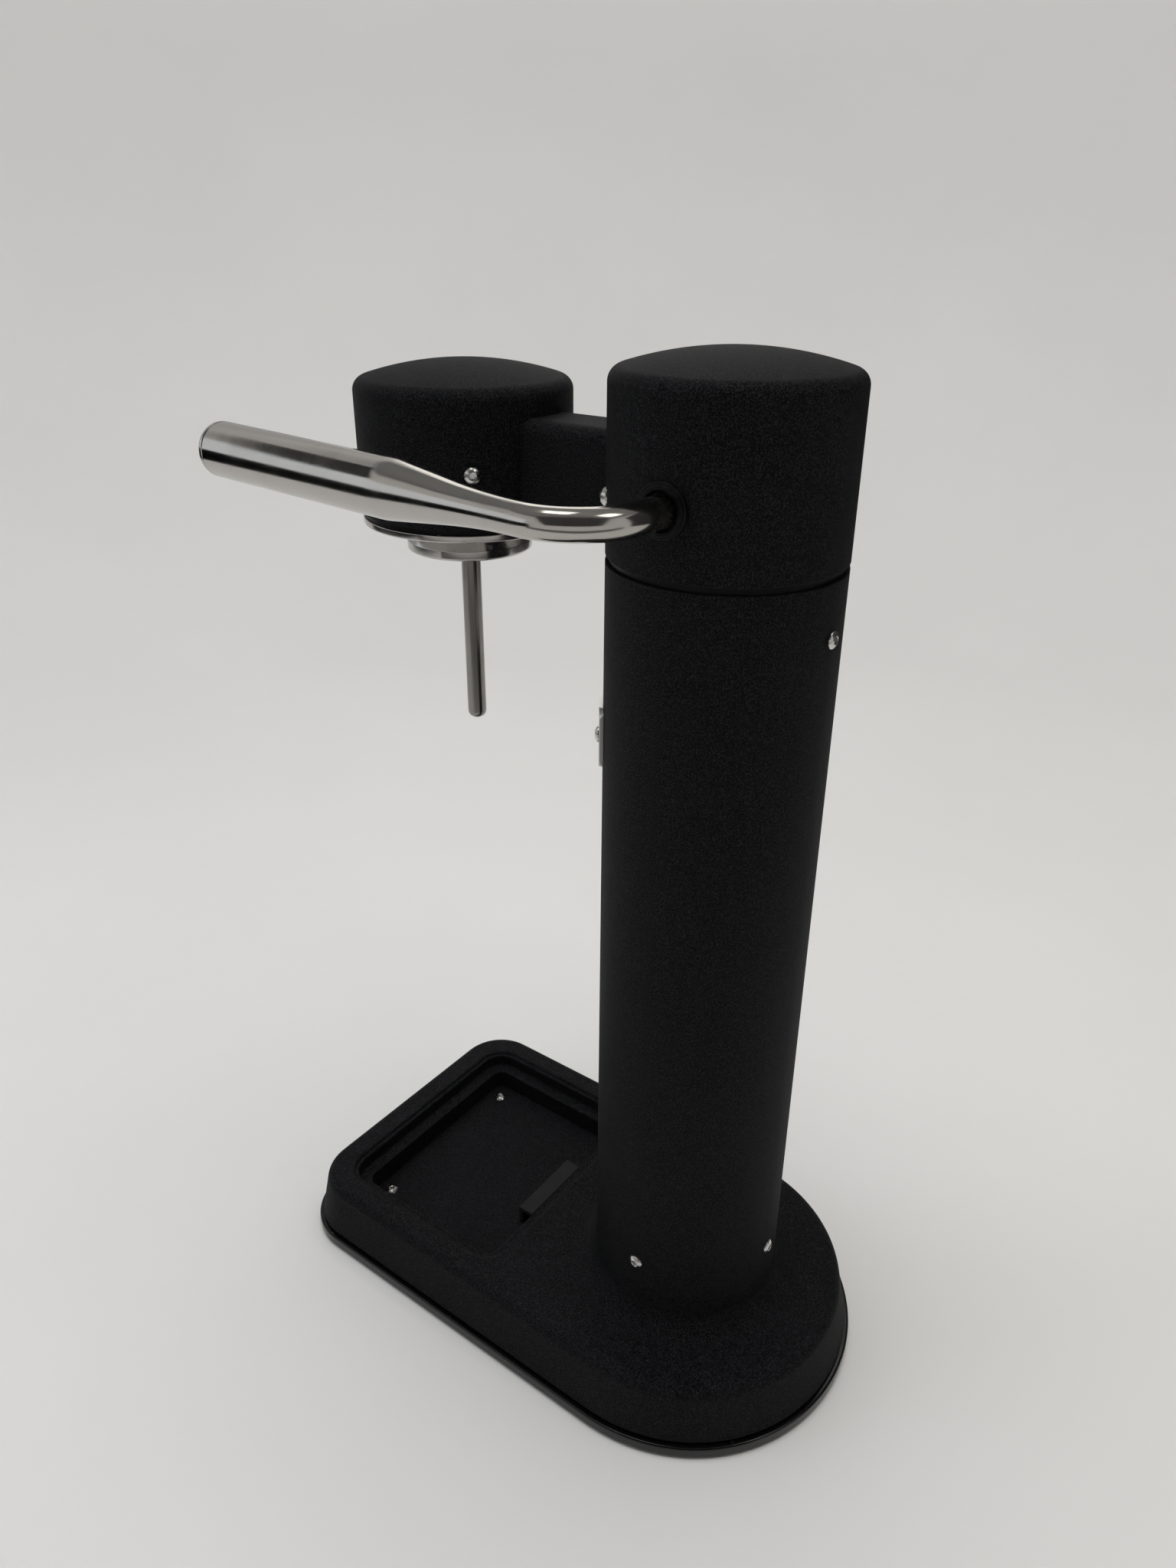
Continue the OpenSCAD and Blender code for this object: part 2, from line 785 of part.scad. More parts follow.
module drum_shell() {
    color("#1d1d1f")
        crowned_shell(drum_z) {
            bridge_prism(slip, bridge_edge_r);
            translate([spot_x, 0, pivot_z])
                rotate([0, 90, 0])
                    cylinder(d = bush_d + 2 * slip, h = column_r);
            translate([shell_in_r - 3, 0, pivot_z])
                rotate([0, 90, 0])
                    cylinder(d = sleeve_d + 2 * slip, h = column_r);
            for (side = [-1, 1])
                on_wall(side * drum_screw_angle, shell_screw_z, shell_in_r - 1)
                    cylinder(d = screw_d + 2 * slip, h = shell_wall + 2);
        }
}

module drum_screws() {
    color("#d8d8da")
        for (side = [-1, 1])
            on_wall(side * drum_screw_angle, shell_screw_z, column_r)
                screw(screw_d, button_d, pan_h, shell_shank_l);
}

// Curved end flange of the bridge, from just above the neighbour's rim upwards
module saddle(low_z) {
    translate([0, 0, low_z])
        ring_sector(frame_r, saddle_in_r, parting_z + bridge_h - 3 - low_z, saddle_half_angle);
}

module bridge() {
    color("#1d1d1f")
        difference() {
            union() {
                difference() {
                    bridge_prism(0, bridge_edge_r);
                    cylinder(r = bridge_end_r, h = drum_z);
                    translate([0, -reach, 0])
                        cylinder(r = bridge_end_r, h = drum_z);
                }
                saddle(parting_z + floor_down + slip);
                translate([0, -reach, 0])
                    rotate([0, 0, 180])
                        saddle(core_z + slip);
            }
            translate([0, 1, 0])
                bridge_passage();
            for (side = [-1, 1])
                on_wall(side * drum_screw_angle, shell_screw_z, saddle_in_r - 1)
                    cylinder(d = screw_d + 2 * slip, h = saddle_t + 2);
            translate([0, -reach, 0])
                for (side = [-1, 1])
                    on_wall(180 + side * head_screw_angle, shell_screw_z, saddle_in_r - 1)
                        cylinder(d = screw_d + 2 * slip, h = saddle_t + 2);
        }
}

// Passage through the bridge for the gas tube
module bridge_passage() {
    translate([0, 0, parting_z])
        rotate([90, 0, 0])
            linear_extrude(reach + 2)
                bridge_section(-bridge_wall, bridge_edge_r - bridge_wall);
}

module head_shell() {
    color("#1d1d1f")
        translate([0, -reach, 0])
            crowned_shell(head_z) {
                translate([0, reach, 0])
                    bridge_prism(slip, bridge_edge_r);
                for (side = [-1, 1])
                    on_wall(180 + side * head_screw_angle, shell_screw_z, shell_in_r - 1)
                        cylinder(d = screw_d + 2 * slip, h = shell_wall + 2);
            }
}

module head_screws() {
    color("#d8d8da")
        translate([0, -reach, 0])
            for (side = [-1, 1])
                on_wall(180 + side * head_screw_angle, shell_screw_z, column_r)
                    screw(screw_d, button_d, pan_h, shell_shank_l);
}

module head_ring() {
    color("#08080a")
        translate([0, -reach, flange_top_z])
            ring(column_r - parting_in, frame_r + running, head_ring_h);
}

module flange_ring() {
    color("#c4c4c8")
        translate([0, -reach, 0])
            difference() {
                translate([0, 0, flange_z])
                    rotate_extrude()
                        polygon(concat(
                            [[socket_d / 2 + socket_wall + running, flange_h]],
                            [[socket_d / 2 + socket_wall + running, 0]],
                            arc([flange_r - flange_edge_r, flange_edge_r], flange_edge_r, -90, 0, 3),
                            [[flange_r, flange_h - flange_edge_r / 2]],
                            [[flange_r - flange_edge_r / 2, flange_h]]));
                for (quarter = [0 : 3])
                    rotate([0, 0, 90 * quarter])
                        translate([0, -flange_screw_r, flange_z + 0.5])
                            cylinder(d = screw_d + 2 * running, h = flange_h);
            }
}

module flange_screws() {
    color("#c8c8ca")
        translate([0, -reach, 0])
            for (quarter = [0 : 3])
                rotate([0, 0, 90 * quarter])
                    translate([0, -flange_screw_r, socket_z])
                        screw(screw_d, button_d, button_h, socket_z - flange_z - 0.8);
}

module bottle_collar() {
    in_r = socket_d / 2;
    neck_r = in_r + socket_wall;
    lip_r = lip_d / 2;
    color("#c4c4c8")
        translate([0, -reach, 0]) {
            rotate_extrude()
                polygon(concat(
                    [[in_r, socket_z], [in_r, collar_z + 0.8], [in_r + 0.8, collar_z]],
                    arc([lip_r - 1, collar_z + 1], 1, -90, 0, 4),
                    [[lip_r, collar_z + 1 + lip_h], [neck_r, collar_z + 1 + lip_h + 2 * (lip_r - neck_r)]],
                    [[neck_r, socket_z]]));
            for (third = [0 : 2])
                rotate([0, 0, 120 * third])
                    translate([0, 0, collar_z + 5])
                        ring_sector(in_r + eps, in_r - 1.6, 3, 15);
        }
}

module bottle_seal() {
    color("#202022")
        translate([0, -reach, socket_z - seal_h])
            ring(socket_d / 2 - slip, seal_in_r, seal_h);
}

// Lug for a shell screw, inside the curved flange of the bridge
module lug(angle, low_z) {
    rotate([0, 0, angle])
        translate([0, 0, low_z])
            ring_sector(lug_r, lug_r - lug_t, shell_screw_z + lug_up - low_z, lug_half_angle);
}

// Slot in a round rim where the bridge passes
module bridge_slot() {
    translate([0, 0, parting_z - slip])
        rotate([90, 0, 0])
            linear_extrude(column_r)
                translate([-bridge_w / 2 - slip, 0])
                    square([bridge_w + 2 * slip, bridge_h]);
}

module head_core() {
    color("#4a4a4e")
        translate([0, -reach, 0])
            difference() {
                union() {
                    difference() {
                        translate([0, 0, flange_top_z])
                            cylinder(r = frame_r, h = core_z - flange_top_z);
                        rotate([0, 0, 180])
                            difference() {
                                bridge_slot();
                                cylinder(r = saddle_in_r - slip, h = drum_z);
                            }
                    }
                    for (side = [-1, 1])
                        lug(180 + side * head_screw_angle, core_z - eps);
                }
                translate([0, 0, flange_z])
                    cylinder(d = socket_d + 2 * socket_wall + 2 * running, h = socket_up);
                cylinder(d = nozzle_spigot_d + 2 * running, h = core_z - core_fitting_depth);
                translate([0, 0, core_z - core_fitting_depth - eps])
                    cylinder(d = fitting_spigot_d + 2 * running, h = core_fitting_depth + 1);
                translate([0, -relief_out, socket_z + 3])
                    cylinder(d = relief_d + 2 * running, h = core_z);
                translate([0, 3 - relief_out, socket_z - 1])
                    cylinder(r = 1, h = 5);
                for (quarter = [0 : 3])
                    rotate([0, 0, 90 * quarter])
                        translate([0, -flange_screw_r, flange_z]) {
                            cylinder(d = screw_d + 2 * slip, h = core_z);
                            translate([0, 0, socket_up])
                                cylinder(d = button_d + 4 * slip, h = core_z);
                        }
                for (side = [-1, 1])
                    on_wall(180 + side * head_screw_angle, shell_screw_z, lug_r - lug_t - 1)
                        cylinder(d = screw_d + 2 * running, h = lug_t + 2);
            }
}

module nozzle() {
    tip_z = collar_z - nozzle_l;
    r = nozzle_d / 2;
    bore_r = nozzle_bore / 2;
    top_z = core_z - core_fitting_depth - 0.5;
    color("#c4c4c8")
        translate([0, -reach, 0])
            rotate_extrude()
                polygon(concat(
                    [[bore_r / 2, tip_z]],
                    arc([r - nozzle_tip_r, tip_z + nozzle_tip_r], nozzle_tip_r, -90, 0, arc_steps),
                    [[r, socket_z - seal_h], [nozzle_shoulder_d / 2, socket_z - seal_h]],
                    [[nozzle_shoulder_d / 2, socket_z], [nozzle_spigot_d / 2, socket_z]],
                    [[nozzle_spigot_d / 2, top_z], [bore_r, top_z]],
                    [[bore_r, tip_z + 6], [bore_r / 2, tip_z + 5]]));
}

module head_fitting() {
    color("#b58a3c")
        translate([0, -reach, 0])
            difference() {
                union() {
                    translate([0, 0, core_z])
                        cylinder(d = head_fitting_d, h = fitting_h, $fn = 6);
                    translate([0, 0, core_z - core_fitting_depth + 0.2])
                        cylinder(d = fitting_spigot_d, h = core_fitting_depth);
                }
                translate([0, 0, core_z - core_fitting_depth])
                    cylinder(d = gas_tube_bore, h = core_fitting_depth + fitting_h);
                translate([0, 0, core_z - 1])
                    cylinder(d = gas_tube_d + 2 * running, h = fitting_h + 2);
            }
}

module relief_valve() {
    color("#b58a3c")
        translate([0, -reach - relief_out, 0]) {
            translate([0, 0, socket_z + 3 + slip])
                cylinder(d = relief_d, h = core_z - socket_z - 3 - slip + eps);
            translate([0, 0, core_z])
                cylinder(d = relief_hex_d, h = relief_hex_h, $fn = 6);
            translate([0, 0, core_z + relief_hex_h - eps])
                cylinder(d = relief_d + 1, h = relief_h);
        }
}

// Solid along the gas tube's route: up from the receiver, along the bridge, down to the head
module gas_route(d) {
    low_z = floor_z - 2;
    bend_z = gas_run_z - gas_bend_r;
    translate([0, -gas_rise, low_z])
        cylinder(d = d, h = bend_z - low_z);
    translate([0, -gas_rise - gas_bend_r, bend_z])
        rotate([90, 0, 90])
            rotate_extrude(angle = 90)
                translate([gas_bend_r, 0])
                    circle(d = d);
    translate([0, -gas_rise - gas_bend_r, gas_run_z])
        rotate([90, 0, 0])
            cylinder(d = d, h = reach - gas_rise - 2 * gas_bend_r);
    translate([0, gas_bend_r - reach, bend_z])
        rotate([90, 0, 90])
            rotate([0, 0, 90])
                rotate_extrude(angle = 90)
                    translate([gas_bend_r, 0])
                        circle(d = d);
    translate([0, -reach, core_z - 1])
        cylinder(d = d, h = bend_z - core_z + 1);
}

module gas_tube() {
    color("#b9bbbe")
        difference() {
            gas_route(gas_tube_d);
            gas_route(gas_tube_bore);
        }
}

module outlet_fitting() {
    low_z = receiver_flange_z + receiver_flange_h;
    color("#b58a3c")
        translate([0, -gas_rise, low_z])
            difference() {
                cylinder(d = fitting_d, h = floor_t + fitting_proud);
                translate([0, 0, -1])
                    cylinder(d = gas_tube_bore, h = floor_t + fitting_proud + 2);
                translate([0, 0, floor_z - 2 - low_z])
                    cylinder(d = gas_tube_d + 2 * running, h = floor_t + fitting_proud);
            }
}

// Frame inside the column's top: ring, floor, cheeks for the shaft and lugs for the drum's screws
module valve_frame() {
    color("#7c7f84")
        difference() {
            union() {
                translate([0, 0, tube_top_z - frame_depth])
                    ring(spigot_r, frame_in_r, frame_depth);
                difference() {
                    translate([0, 0, tube_top_z - eps])
                        ring(frame_r, frame_in_r, parting_z + floor_down - tube_top_z);
                    bridge_slot();
                }
                translate([0, 0, floor_z - floor_t])
                    cylinder(r = frame_in_r + eps, h = floor_t);
                for (side = [-1, 1])
                    translate([side * (cheek_in + cheek_t / 2), 0, 0]) {
                        translate([-cheek_t / 2, -cheek_half, floor_z - eps])
                            cube([cheek_t, 2 * cheek_half, pivot_z - floor_z]);
                        translate([-cheek_t / 2, 0, pivot_z])
                            rotate([0, 90, 0])
                                cylinder(r = cheek_half, h = cheek_t);
                    }
                for (side = [-1, 1])
                    lug(side * drum_screw_angle, floor_z - eps);
            }
            translate([0, 0, floor_z - floor_t - 1])
                cylinder(r = receiver_r + slip, h = floor_t + 2);
            translate([0, -gas_rise, floor_z - floor_t - 1])
                cylinder(d = fitting_d + 2 * slip, h = floor_t + 2);
            translate([-shaft_half, 0, pivot_z])
                rotate([0, 90, 0])
                    cylinder(d = shaft_d + 2 * bearing_wall + 2 * running, h = 2 * shaft_half);
            for (end = [0, 180])
                on_wall(end, tube_top_z - top_screw_down, frame_in_r - 1)
                    cylinder(d = screw_d + 2 * running, h = column_r - frame_in_r + 2);
            for (side = [-1, 1])
                on_wall(side * drum_screw_angle, shell_screw_z, lug_r - lug_t - 1)
                    cylinder(d = screw_d + 2 * running, h = lug_t + 2);
            for (third = [0 : 2])
                rotate([0, 0, 120 * third])
                    translate([0, receiver_screw_r, floor_z - floor_t - 1])
                        cylinder(d = base_screw_d + 2 * running, h = floor_t);
        }
}

// Threaded block that takes the gas cylinder's valve, with the gas passage to the outlet
module gas_receiver() {
    flange_top = receiver_flange_z + receiver_flange_h;
    run_z = receiver_flange_z + receiver_flange_h / 2;
    cross_z = (chamber_z + roof_z) / 2;
    color("#b58a3c")
        difference() {
            union() {
                translate([0, 0, receiver_low_z])
                    cylinder(r = receiver_r, h = receiver_z - receiver_low_z);
                translate([0, 0, receiver_flange_z])
                    cylinder(r = receiver_flange_r, h = receiver_flange_h);
                translate([-port_block_w / 2, -port_block_out, receiver_flange_z])
                    cube([port_block_w, port_block_out - receiver_flange_r + port_block_sink,
                          receiver_flange_h]);
            }
            translate([0, 0, receiver_low_z - 1])
                cylinder(d = valve_thread_d, h = valve_thread_l + 1);
            translate([0, 0, thread_top_z])
                cylinder(r = gasket_r + slip, h = gasket_h);
            cylinder(r = chamber_r, h = roof_z);
            cylinder(d = tappet_pin_d + 2 * running, h = receiver_z + 1);
            translate([0, 0, roof_z + (roof_h - seal_wire_d) / 2])
                cylinder(d = tappet_pin_d + 2 * seal_wire_d + 2 * running, h = seal_wire_d);
            translate([0, 0, cross_z])
                rotate([90, 0, 0])
                    cylinder(r = port_r, h = port_in);
            translate([0, -port_in, run_z])
                cylinder(r = port_r, h = cross_z - run_z);
            translate([0, -port_in, run_z])
                rotate([90, 0, 0])
                    cylinder(r = port_r, h = gas_rise - port_in);
            translate([0, -gas_rise, run_z])
                cylinder(r = port_r, h = receiver_flange_h);
            for (third = [0 : 2])
                rotate([0, 0, 120 * third])
                    translate([0, receiver_screw_r, receiver_flange_z - 1])
                        cylinder(d = base_screw_d + 2 * slip, h = receiver_flange_h + 2);
        }
}

module receiver_screws() {
    color("#c8c8ca")
        for (third = [0 : 2])
            rotate([0, 0, 120 * third])
                translate([0, receiver_screw_r, receiver_flange_z])
                    mirror([0, 0, 1])
                        screw(base_screw_d, 2 * base_screw_d - 1, 2.2, receiver_flange_h + floor_t - 2);
}

module receiver_gasket() {
    color("#202022")
        translate([0, 0, thread_top_z])
            ring(gasket_r, chamber_r, gasket_h);
}

module pin_seal() {
    color("#202022")
        translate([0, 0, roof_z + roof_h / 2])
            rotate_extrude()
                translate([tappet_pin_d / 2 + running + seal_wire_d / 2, 0])
                    circle(d = seal_wire_d - running);
}

module tappet() {
    color("#b4b6ba") {
        translate([0, 0, tappet_low_z])
            cylinder(r = tappet_r, h = tappet_t);
        translate([0, 0, chamber_z + 0.5])
            cylinder(d = tappet_pin_d, h = tappet_low_z - chamber_z);
    }
}

// Return spring: one unbroken round wire between the frame's floor and the tappet
spring_sides = 6;
spring_rings = 16;
spring_steps = spring_turns * spring_rings;
spring_low_z = floor_z + spring_end_gap + wire_d / 2;
spring_rise = tappet_low_z - floor_z - 2 * spring_end_gap - wire_d;
function wire_point(step, side) =
    let (
        turn = 360 * step / spring_rings,
        around = 360 * side / spring_sides,
        r = spring_r + wire_d / 2 * cos(around)
    )
    [
        r * cos(turn),
        r * sin(turn),
        spring_low_z + spring_rise * step / spring_steps + wire_d / 2 * sin(around)
    ];
echo(spring_least_gap = spring_rise / spring_turns - wire_d);

module return_spring() {
    last = spring_steps * spring_sides;
    color("#a8aaae")
        polyhedron(
            points = [for (step = [0 : spring_steps], side = [0 : spring_sides - 1]) wire_point(step, side)],
            faces = concat(
                [for (side = [1 : spring_sides - 2]) [0, side, side + 1]],
                [for (side = [1 : spring_sides - 2]) [last, last + side + 1, last + side]],
                [for (step = [0 : spring_steps - 1], side = [0 : spring_sides - 1], half = [0, 1])
                    let (
                        a = step * spring_sides + side,
                        b = step * spring_sides + (side + 1) % spring_sides
                    )
                    half == 0 ? [a, a + spring_sides, b] : [b, a + spring_sides, b + spring_sides]]));
}

// Places a child on the lever's pivot, at the lever's angle at rest
module at_lever() {
    translate([0, 0, pivot_z])
        rotate([-lever_rest, 0, 0])
            children();
}

// Outline of the grip and its taper, outwards from the end of the bend
rod_r = rod_d / 2;
grip_r = grip_d / 2;
grip_bore_r = grip_r - grip_wall;
grip_start = lever_l - grip_l;
cap_start = lever_l - grip_cap_l;
cap_edge_r = 2.4;
cap_plug_l = 8;
seam = 0.3;
taper_angle = atan2(grip_r - rod_r, taper_l);
blend_l = blend_r * tan(taper_angle / 2);
shoulder_r = 40;
shoulder_l = shoulder_r * tan(taper_angle / 2);
function grip_outline() = concat(
    [[0, 0], [rod_r, 0]],
    arc([rod_r + blend_r, grip_start - taper_l - blend_l], blend_r, 180, 180 - taper_angle),
    arc([grip_r - shoulder_r, grip_start + shoulder_l], shoulder_r, -taper_angle, 0),
    [[grip_r, cap_start - seam], [grip_r - seam, cap_start], [0, cap_start]]);

// Places a child at the end of the bend, with its axis along the grip
module along_grip() {
    translate([bend_out, -rod_bend_r, 0])
        rotate([0, 0, -lever_toe])
            translate([rod_bend_r, 0, 0])
                rotate([90, 0, 0])
                    children();
}

module lever_arm() {
    color("#c9c9cc")
        difference() {
            at_lever() {
                translate([rod_socket_x + running, 0, 0])
                    rotate([0, 90, 0])
                        cylinder(d = rod_d, h = bend_out - rod_socket_x - running);
                translate([bend_out, -rod_bend_r, 0])
                    intersection() {
                        rotate_extrude()
                            translate([rod_bend_r, 0])
                                circle(d = rod_d);
                        translate([0, 0, -rod_d])
                            linear_extrude(2 * rod_d)
                                polygon([[0, 0], 3 * rod_bend_r * [cos(lever_toe), -sin(lever_toe)],
                                         3 * rod_bend_r * [1, 1], [0, 3 * rod_bend_r]]);
                    }
                along_grip()
                    rotate_extrude()
                        polygon(grip_outline());
            }
            at_lever()
                along_grip()
                    translate([0, 0, grip_start + grip_wall])
                        cylinder(r = grip_bore_r, h = grip_l);
            translate([0, 0, pivot_z])
                at_pin(lever_pin_x, rod_d);
        }
}

module grip_cap() {
    color("#c9c9cc")
        at_lever()
            along_grip()
                rotate_extrude()
                    polygon(concat(
                        [[0, cap_start - cap_plug_l], [grip_bore_r - running, cap_start - cap_plug_l]],
                        [[grip_bore_r - running, cap_start]],
                        [[grip_r - seam, cap_start], [grip_r, cap_start + seam]],
                        arc([grip_r - cap_edge_r, lever_l - cap_edge_r], cap_edge_r, 0, 90),
                        [[0, lever_l]]));
}

module lever_bush() {
    face_x = column_r + bush_proud;
    color("#0c0c0d")
        translate([0, 0, pivot_z])
            rotate([0, 90, 0])
                difference() {
                    union() {
                        translate([0, 0, spot_x])
                            cylinder(d = bush_d, h = face_x - spot_x - 0.6);
                        translate([0, 0, spot_x])
                            cylinder(d = bush_d - 2, h = face_x - spot_x);
                        translate([0, 0, bush_in])
                            cylinder(d = sleeve_d, h = spot_x - bush_in + eps);
                    }
                    translate([0, 0, bush_in - 1])
                        cylinder(d = rod_d + 2 * bush_gap, h = column_r);
                }
}

module cam_shaft() {
    color("#a8aaae")
        translate([0, 0, pivot_z])
            difference() {
                translate([-shaft_half, 0, 0])
                    rotate([0, 90, 0])
                        cylinder(d = shaft_d, h = 2 * shaft_half);
                translate([rod_socket_x, 0, 0])
                    rotate([0, 90, 0])
                        cylinder(d = rod_d + 2 * running, h = shaft_half);
                at_pin(lever_pin_x, shaft_d);
                at_pin(0, cam_base_r * 2);
                for (side = [0, 1])
                    mirror([side, 0, 0])
                        translate([cheek_in + cheek_t + 0.3, 0, 0])
                            rotate([0, 90, 0])
                                ring(shaft_d / 2 + 1, shaft_d / 2 - ring_groove, 1.1);
            }
}

// Cross hole for a pin through the shaft
module at_pin(x, l) {
    translate([x, 0, -l])
        cylinder(d = pin_d + 2 * running, h = 2 * l);
}

module lever_pin() {
    color("#8c8e92")
        translate([lever_pin_x, 0, pivot_z - shaft_d / 2 + 0.3])
            cylinder(d = pin_d, h = shaft_d - 0.6);
}

// Cam whose lower flank lifts evenly with the lever's angle, so the tappet follows at a fixed rate
cam_steps = 24;
cam_end = lever_pull + 4;
function cam_flank(pull) =
    let (
        a = -90 - pull,
        lift = cam_base_r + cam_rate * pull * PI / 180
    )
    [lift * cos(a) + cam_rate * sin(a), lift * sin(a) - cam_rate * cos(a)];
function cam_outline() = concat(
    [for (i = [0 : cam_steps]) cam_flank(cam_end * i / cam_steps)],
    arc([0, 0], cam_base_r, -130 - cam_end, -450, 2 * cam_steps));

module cam() {
    color("#8f9196")
        translate([0, 0, pivot_z])
            difference() {
                translate([-cam_w / 2, 0, 0])
                    rotate([90, 0, 90])
                        linear_extrude(cam_w)
                            polygon(cam_outline());
                translate([-cam_w, 0, 0])
                    rotate([0, 90, 0])
                        cylinder(d = shaft_d + 2 * running, h = 2 * cam_w);
                cylinder(d = pin_d + 2 * running, h = 2 * cam_base_r);
            }
}

module cam_pin() {
    color("#8c8e92")
        translate([0, 0, pivot_z - shaft_d / 2 + 0.3])
            cylinder(d = pin_d, h = shaft_d / 2 + cam_base_r - 0.6);
}

module shaft_bearings() {
    r_in = shaft_d / 2 + running;
    r_out = shaft_d / 2 + bearing_wall;
    color("#b58a3c")
        translate([0, 0, pivot_z])
            for (side = [0, 1])
                mirror([side, 0, 0])
                    rotate([0, 90, 0])
                        difference() {
                            union() {
                                translate([0, 0, cheek_in])
                                    cylinder(r = r_out, h = cheek_t);
                                translate([0, 0, cheek_in - bearing_flange_h])
                                    cylinder(r = r_out + 1.2, h = bearing_flange_h);
                            }
                            translate([0, 0, cheek_in - bearing_flange_h - 1])
                                cylinder(r = r_in, h = cheek_t + bearing_flange_h + 2);
                        }
}

module retaining_rings() {
    color("#6e7074")
        translate([0, 0, pivot_z])
            for (side = [0, 1])
                mirror([side, 0, 0])
                    translate([cheek_in + cheek_t + 0.35, 0, 0])
                        rotate([0, 90, 0])
                            ring(shaft_d / 2 + 1.6, shaft_d / 2 - ring_groove + running, 1);
}

foot_mat();
base_plate();
base_housing();
base_screws();
tray_screws();
tray_catch();
column_tube();
column_foot_screws();
column_top_screws();
front_plate();
front_plate_screws();
parting_ring();
drum_shell();
drum_screws();
bridge();
head_shell();
head_screws();
head_ring();
flange_ring();
flange_screws();
bottle_collar();
bottle_seal();
head_core();
nozzle();
head_fitting();
relief_valve();
gas_tube();
outlet_fitting();
valve_frame();
gas_receiver();
receiver_screws();
receiver_gasket();
pin_seal();
tappet();
return_spring();
lever_arm();
grip_cap();
lever_bush();
cam_shaft();
lever_pin();
cam();
cam_pin();
shaft_bearings();
retaining_rings();
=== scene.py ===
"""Looks of a sparkling water maker with a pull lever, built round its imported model."""

import json
import math

import bmesh
import bpy
from bpy.props import FloatProperty, FloatVectorProperty, IntProperty, PointerProperty
from mathutils import Matrix, Vector


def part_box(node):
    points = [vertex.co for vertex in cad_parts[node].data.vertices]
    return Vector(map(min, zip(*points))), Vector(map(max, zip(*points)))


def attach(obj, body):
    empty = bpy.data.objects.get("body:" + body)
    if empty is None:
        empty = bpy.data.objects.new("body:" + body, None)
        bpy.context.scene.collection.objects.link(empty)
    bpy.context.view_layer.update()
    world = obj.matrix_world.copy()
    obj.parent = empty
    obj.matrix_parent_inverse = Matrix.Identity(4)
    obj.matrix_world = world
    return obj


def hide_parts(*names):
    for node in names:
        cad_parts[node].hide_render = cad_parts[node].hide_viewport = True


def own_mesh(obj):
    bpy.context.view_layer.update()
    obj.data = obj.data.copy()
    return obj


bl_info = {
    "name": "Sparkling water maker",
    "version": (1, 0, 0),
    "blender": (4, 5, 0),
    "location": "3D View > Sidebar > Water maker",
    "description": "Builds the pieces, finishes and studio of a sparkling water maker",
    "category": "Object",
}

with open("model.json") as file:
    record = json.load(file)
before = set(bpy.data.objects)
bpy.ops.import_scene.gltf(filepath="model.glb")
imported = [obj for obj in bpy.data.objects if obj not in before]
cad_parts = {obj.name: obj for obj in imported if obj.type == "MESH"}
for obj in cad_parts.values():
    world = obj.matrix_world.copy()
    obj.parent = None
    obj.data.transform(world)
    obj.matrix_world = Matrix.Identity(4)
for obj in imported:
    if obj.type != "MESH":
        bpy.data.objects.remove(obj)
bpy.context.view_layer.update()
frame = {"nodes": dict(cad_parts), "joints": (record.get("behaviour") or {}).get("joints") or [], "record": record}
MM = 0.001
THIN = 1e-6
QUARTER = math.pi / 2
ORIGIN = (0, 0, 0)
UP = (0, 0, 1)

PLATE_LOW, PLATE_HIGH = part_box("base_plate")
HOUSING_LOW, HOUSING_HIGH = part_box("base_housing")
TUBE_LOW, TUBE_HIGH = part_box("column_tube")
DRUM_LOW, DRUM_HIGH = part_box("drum_shell")
HEAD_LOW, HEAD_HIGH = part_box("head_shell")
FLANGE_LOW, FLANGE_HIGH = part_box("flange_ring")
COLLAR_LOW, COLLAR_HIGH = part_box("bottle_collar")
NOZZLE_LOW, NOZZLE_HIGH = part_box("nozzle")
BUSH_LOW, BUSH_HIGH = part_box("lever_bush")
CATCH_LOW, CATCH_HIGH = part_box("tray_catch")
SPRING_LOW, SPRING_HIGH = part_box("return_spring")
COLUMN_R = TUBE_HIGH.x
HEAD_Y = (HEAD_LOW.y + HEAD_HIGH.y) / 2
PIVOT = Vector(frame["joints"][0]["pos_m"])


def maker(kind, scale=None, **common):
    """Gives a function that makes one kind of property, with its default scaled if a scale is given."""
    def make(name, description, default):
        value = default * scale if scale else default
        return kind(name=name, description=description, default=value, **common)
    return make


length = maker(FloatProperty, MM, min=0, precision=5, unit="LENGTH", subtype="DISTANCE")
turn = maker(FloatProperty, math.radians(1), unit="ROTATION", subtype="ANGLE")
watts = maker(FloatProperty, min=0, precision=4, unit="POWER")
number = maker(FloatProperty, min=0, precision=4)
count = maker(IntProperty, min=24, max=360)
colour = maker(FloatVectorProperty, size=3, min=0, max=1, subtype="COLOR")
spot = maker(FloatVectorProperty, size=3, precision=5, unit="LENGTH", subtype="TRANSLATION")


def shift(x, y, z):
    """A move by a distance along each axis."""
    return Matrix.Translation((x, y, z))


def twist(angle, axis):
    """A turn about an axis."""
    return Matrix.Rotation(angle, 4, axis)


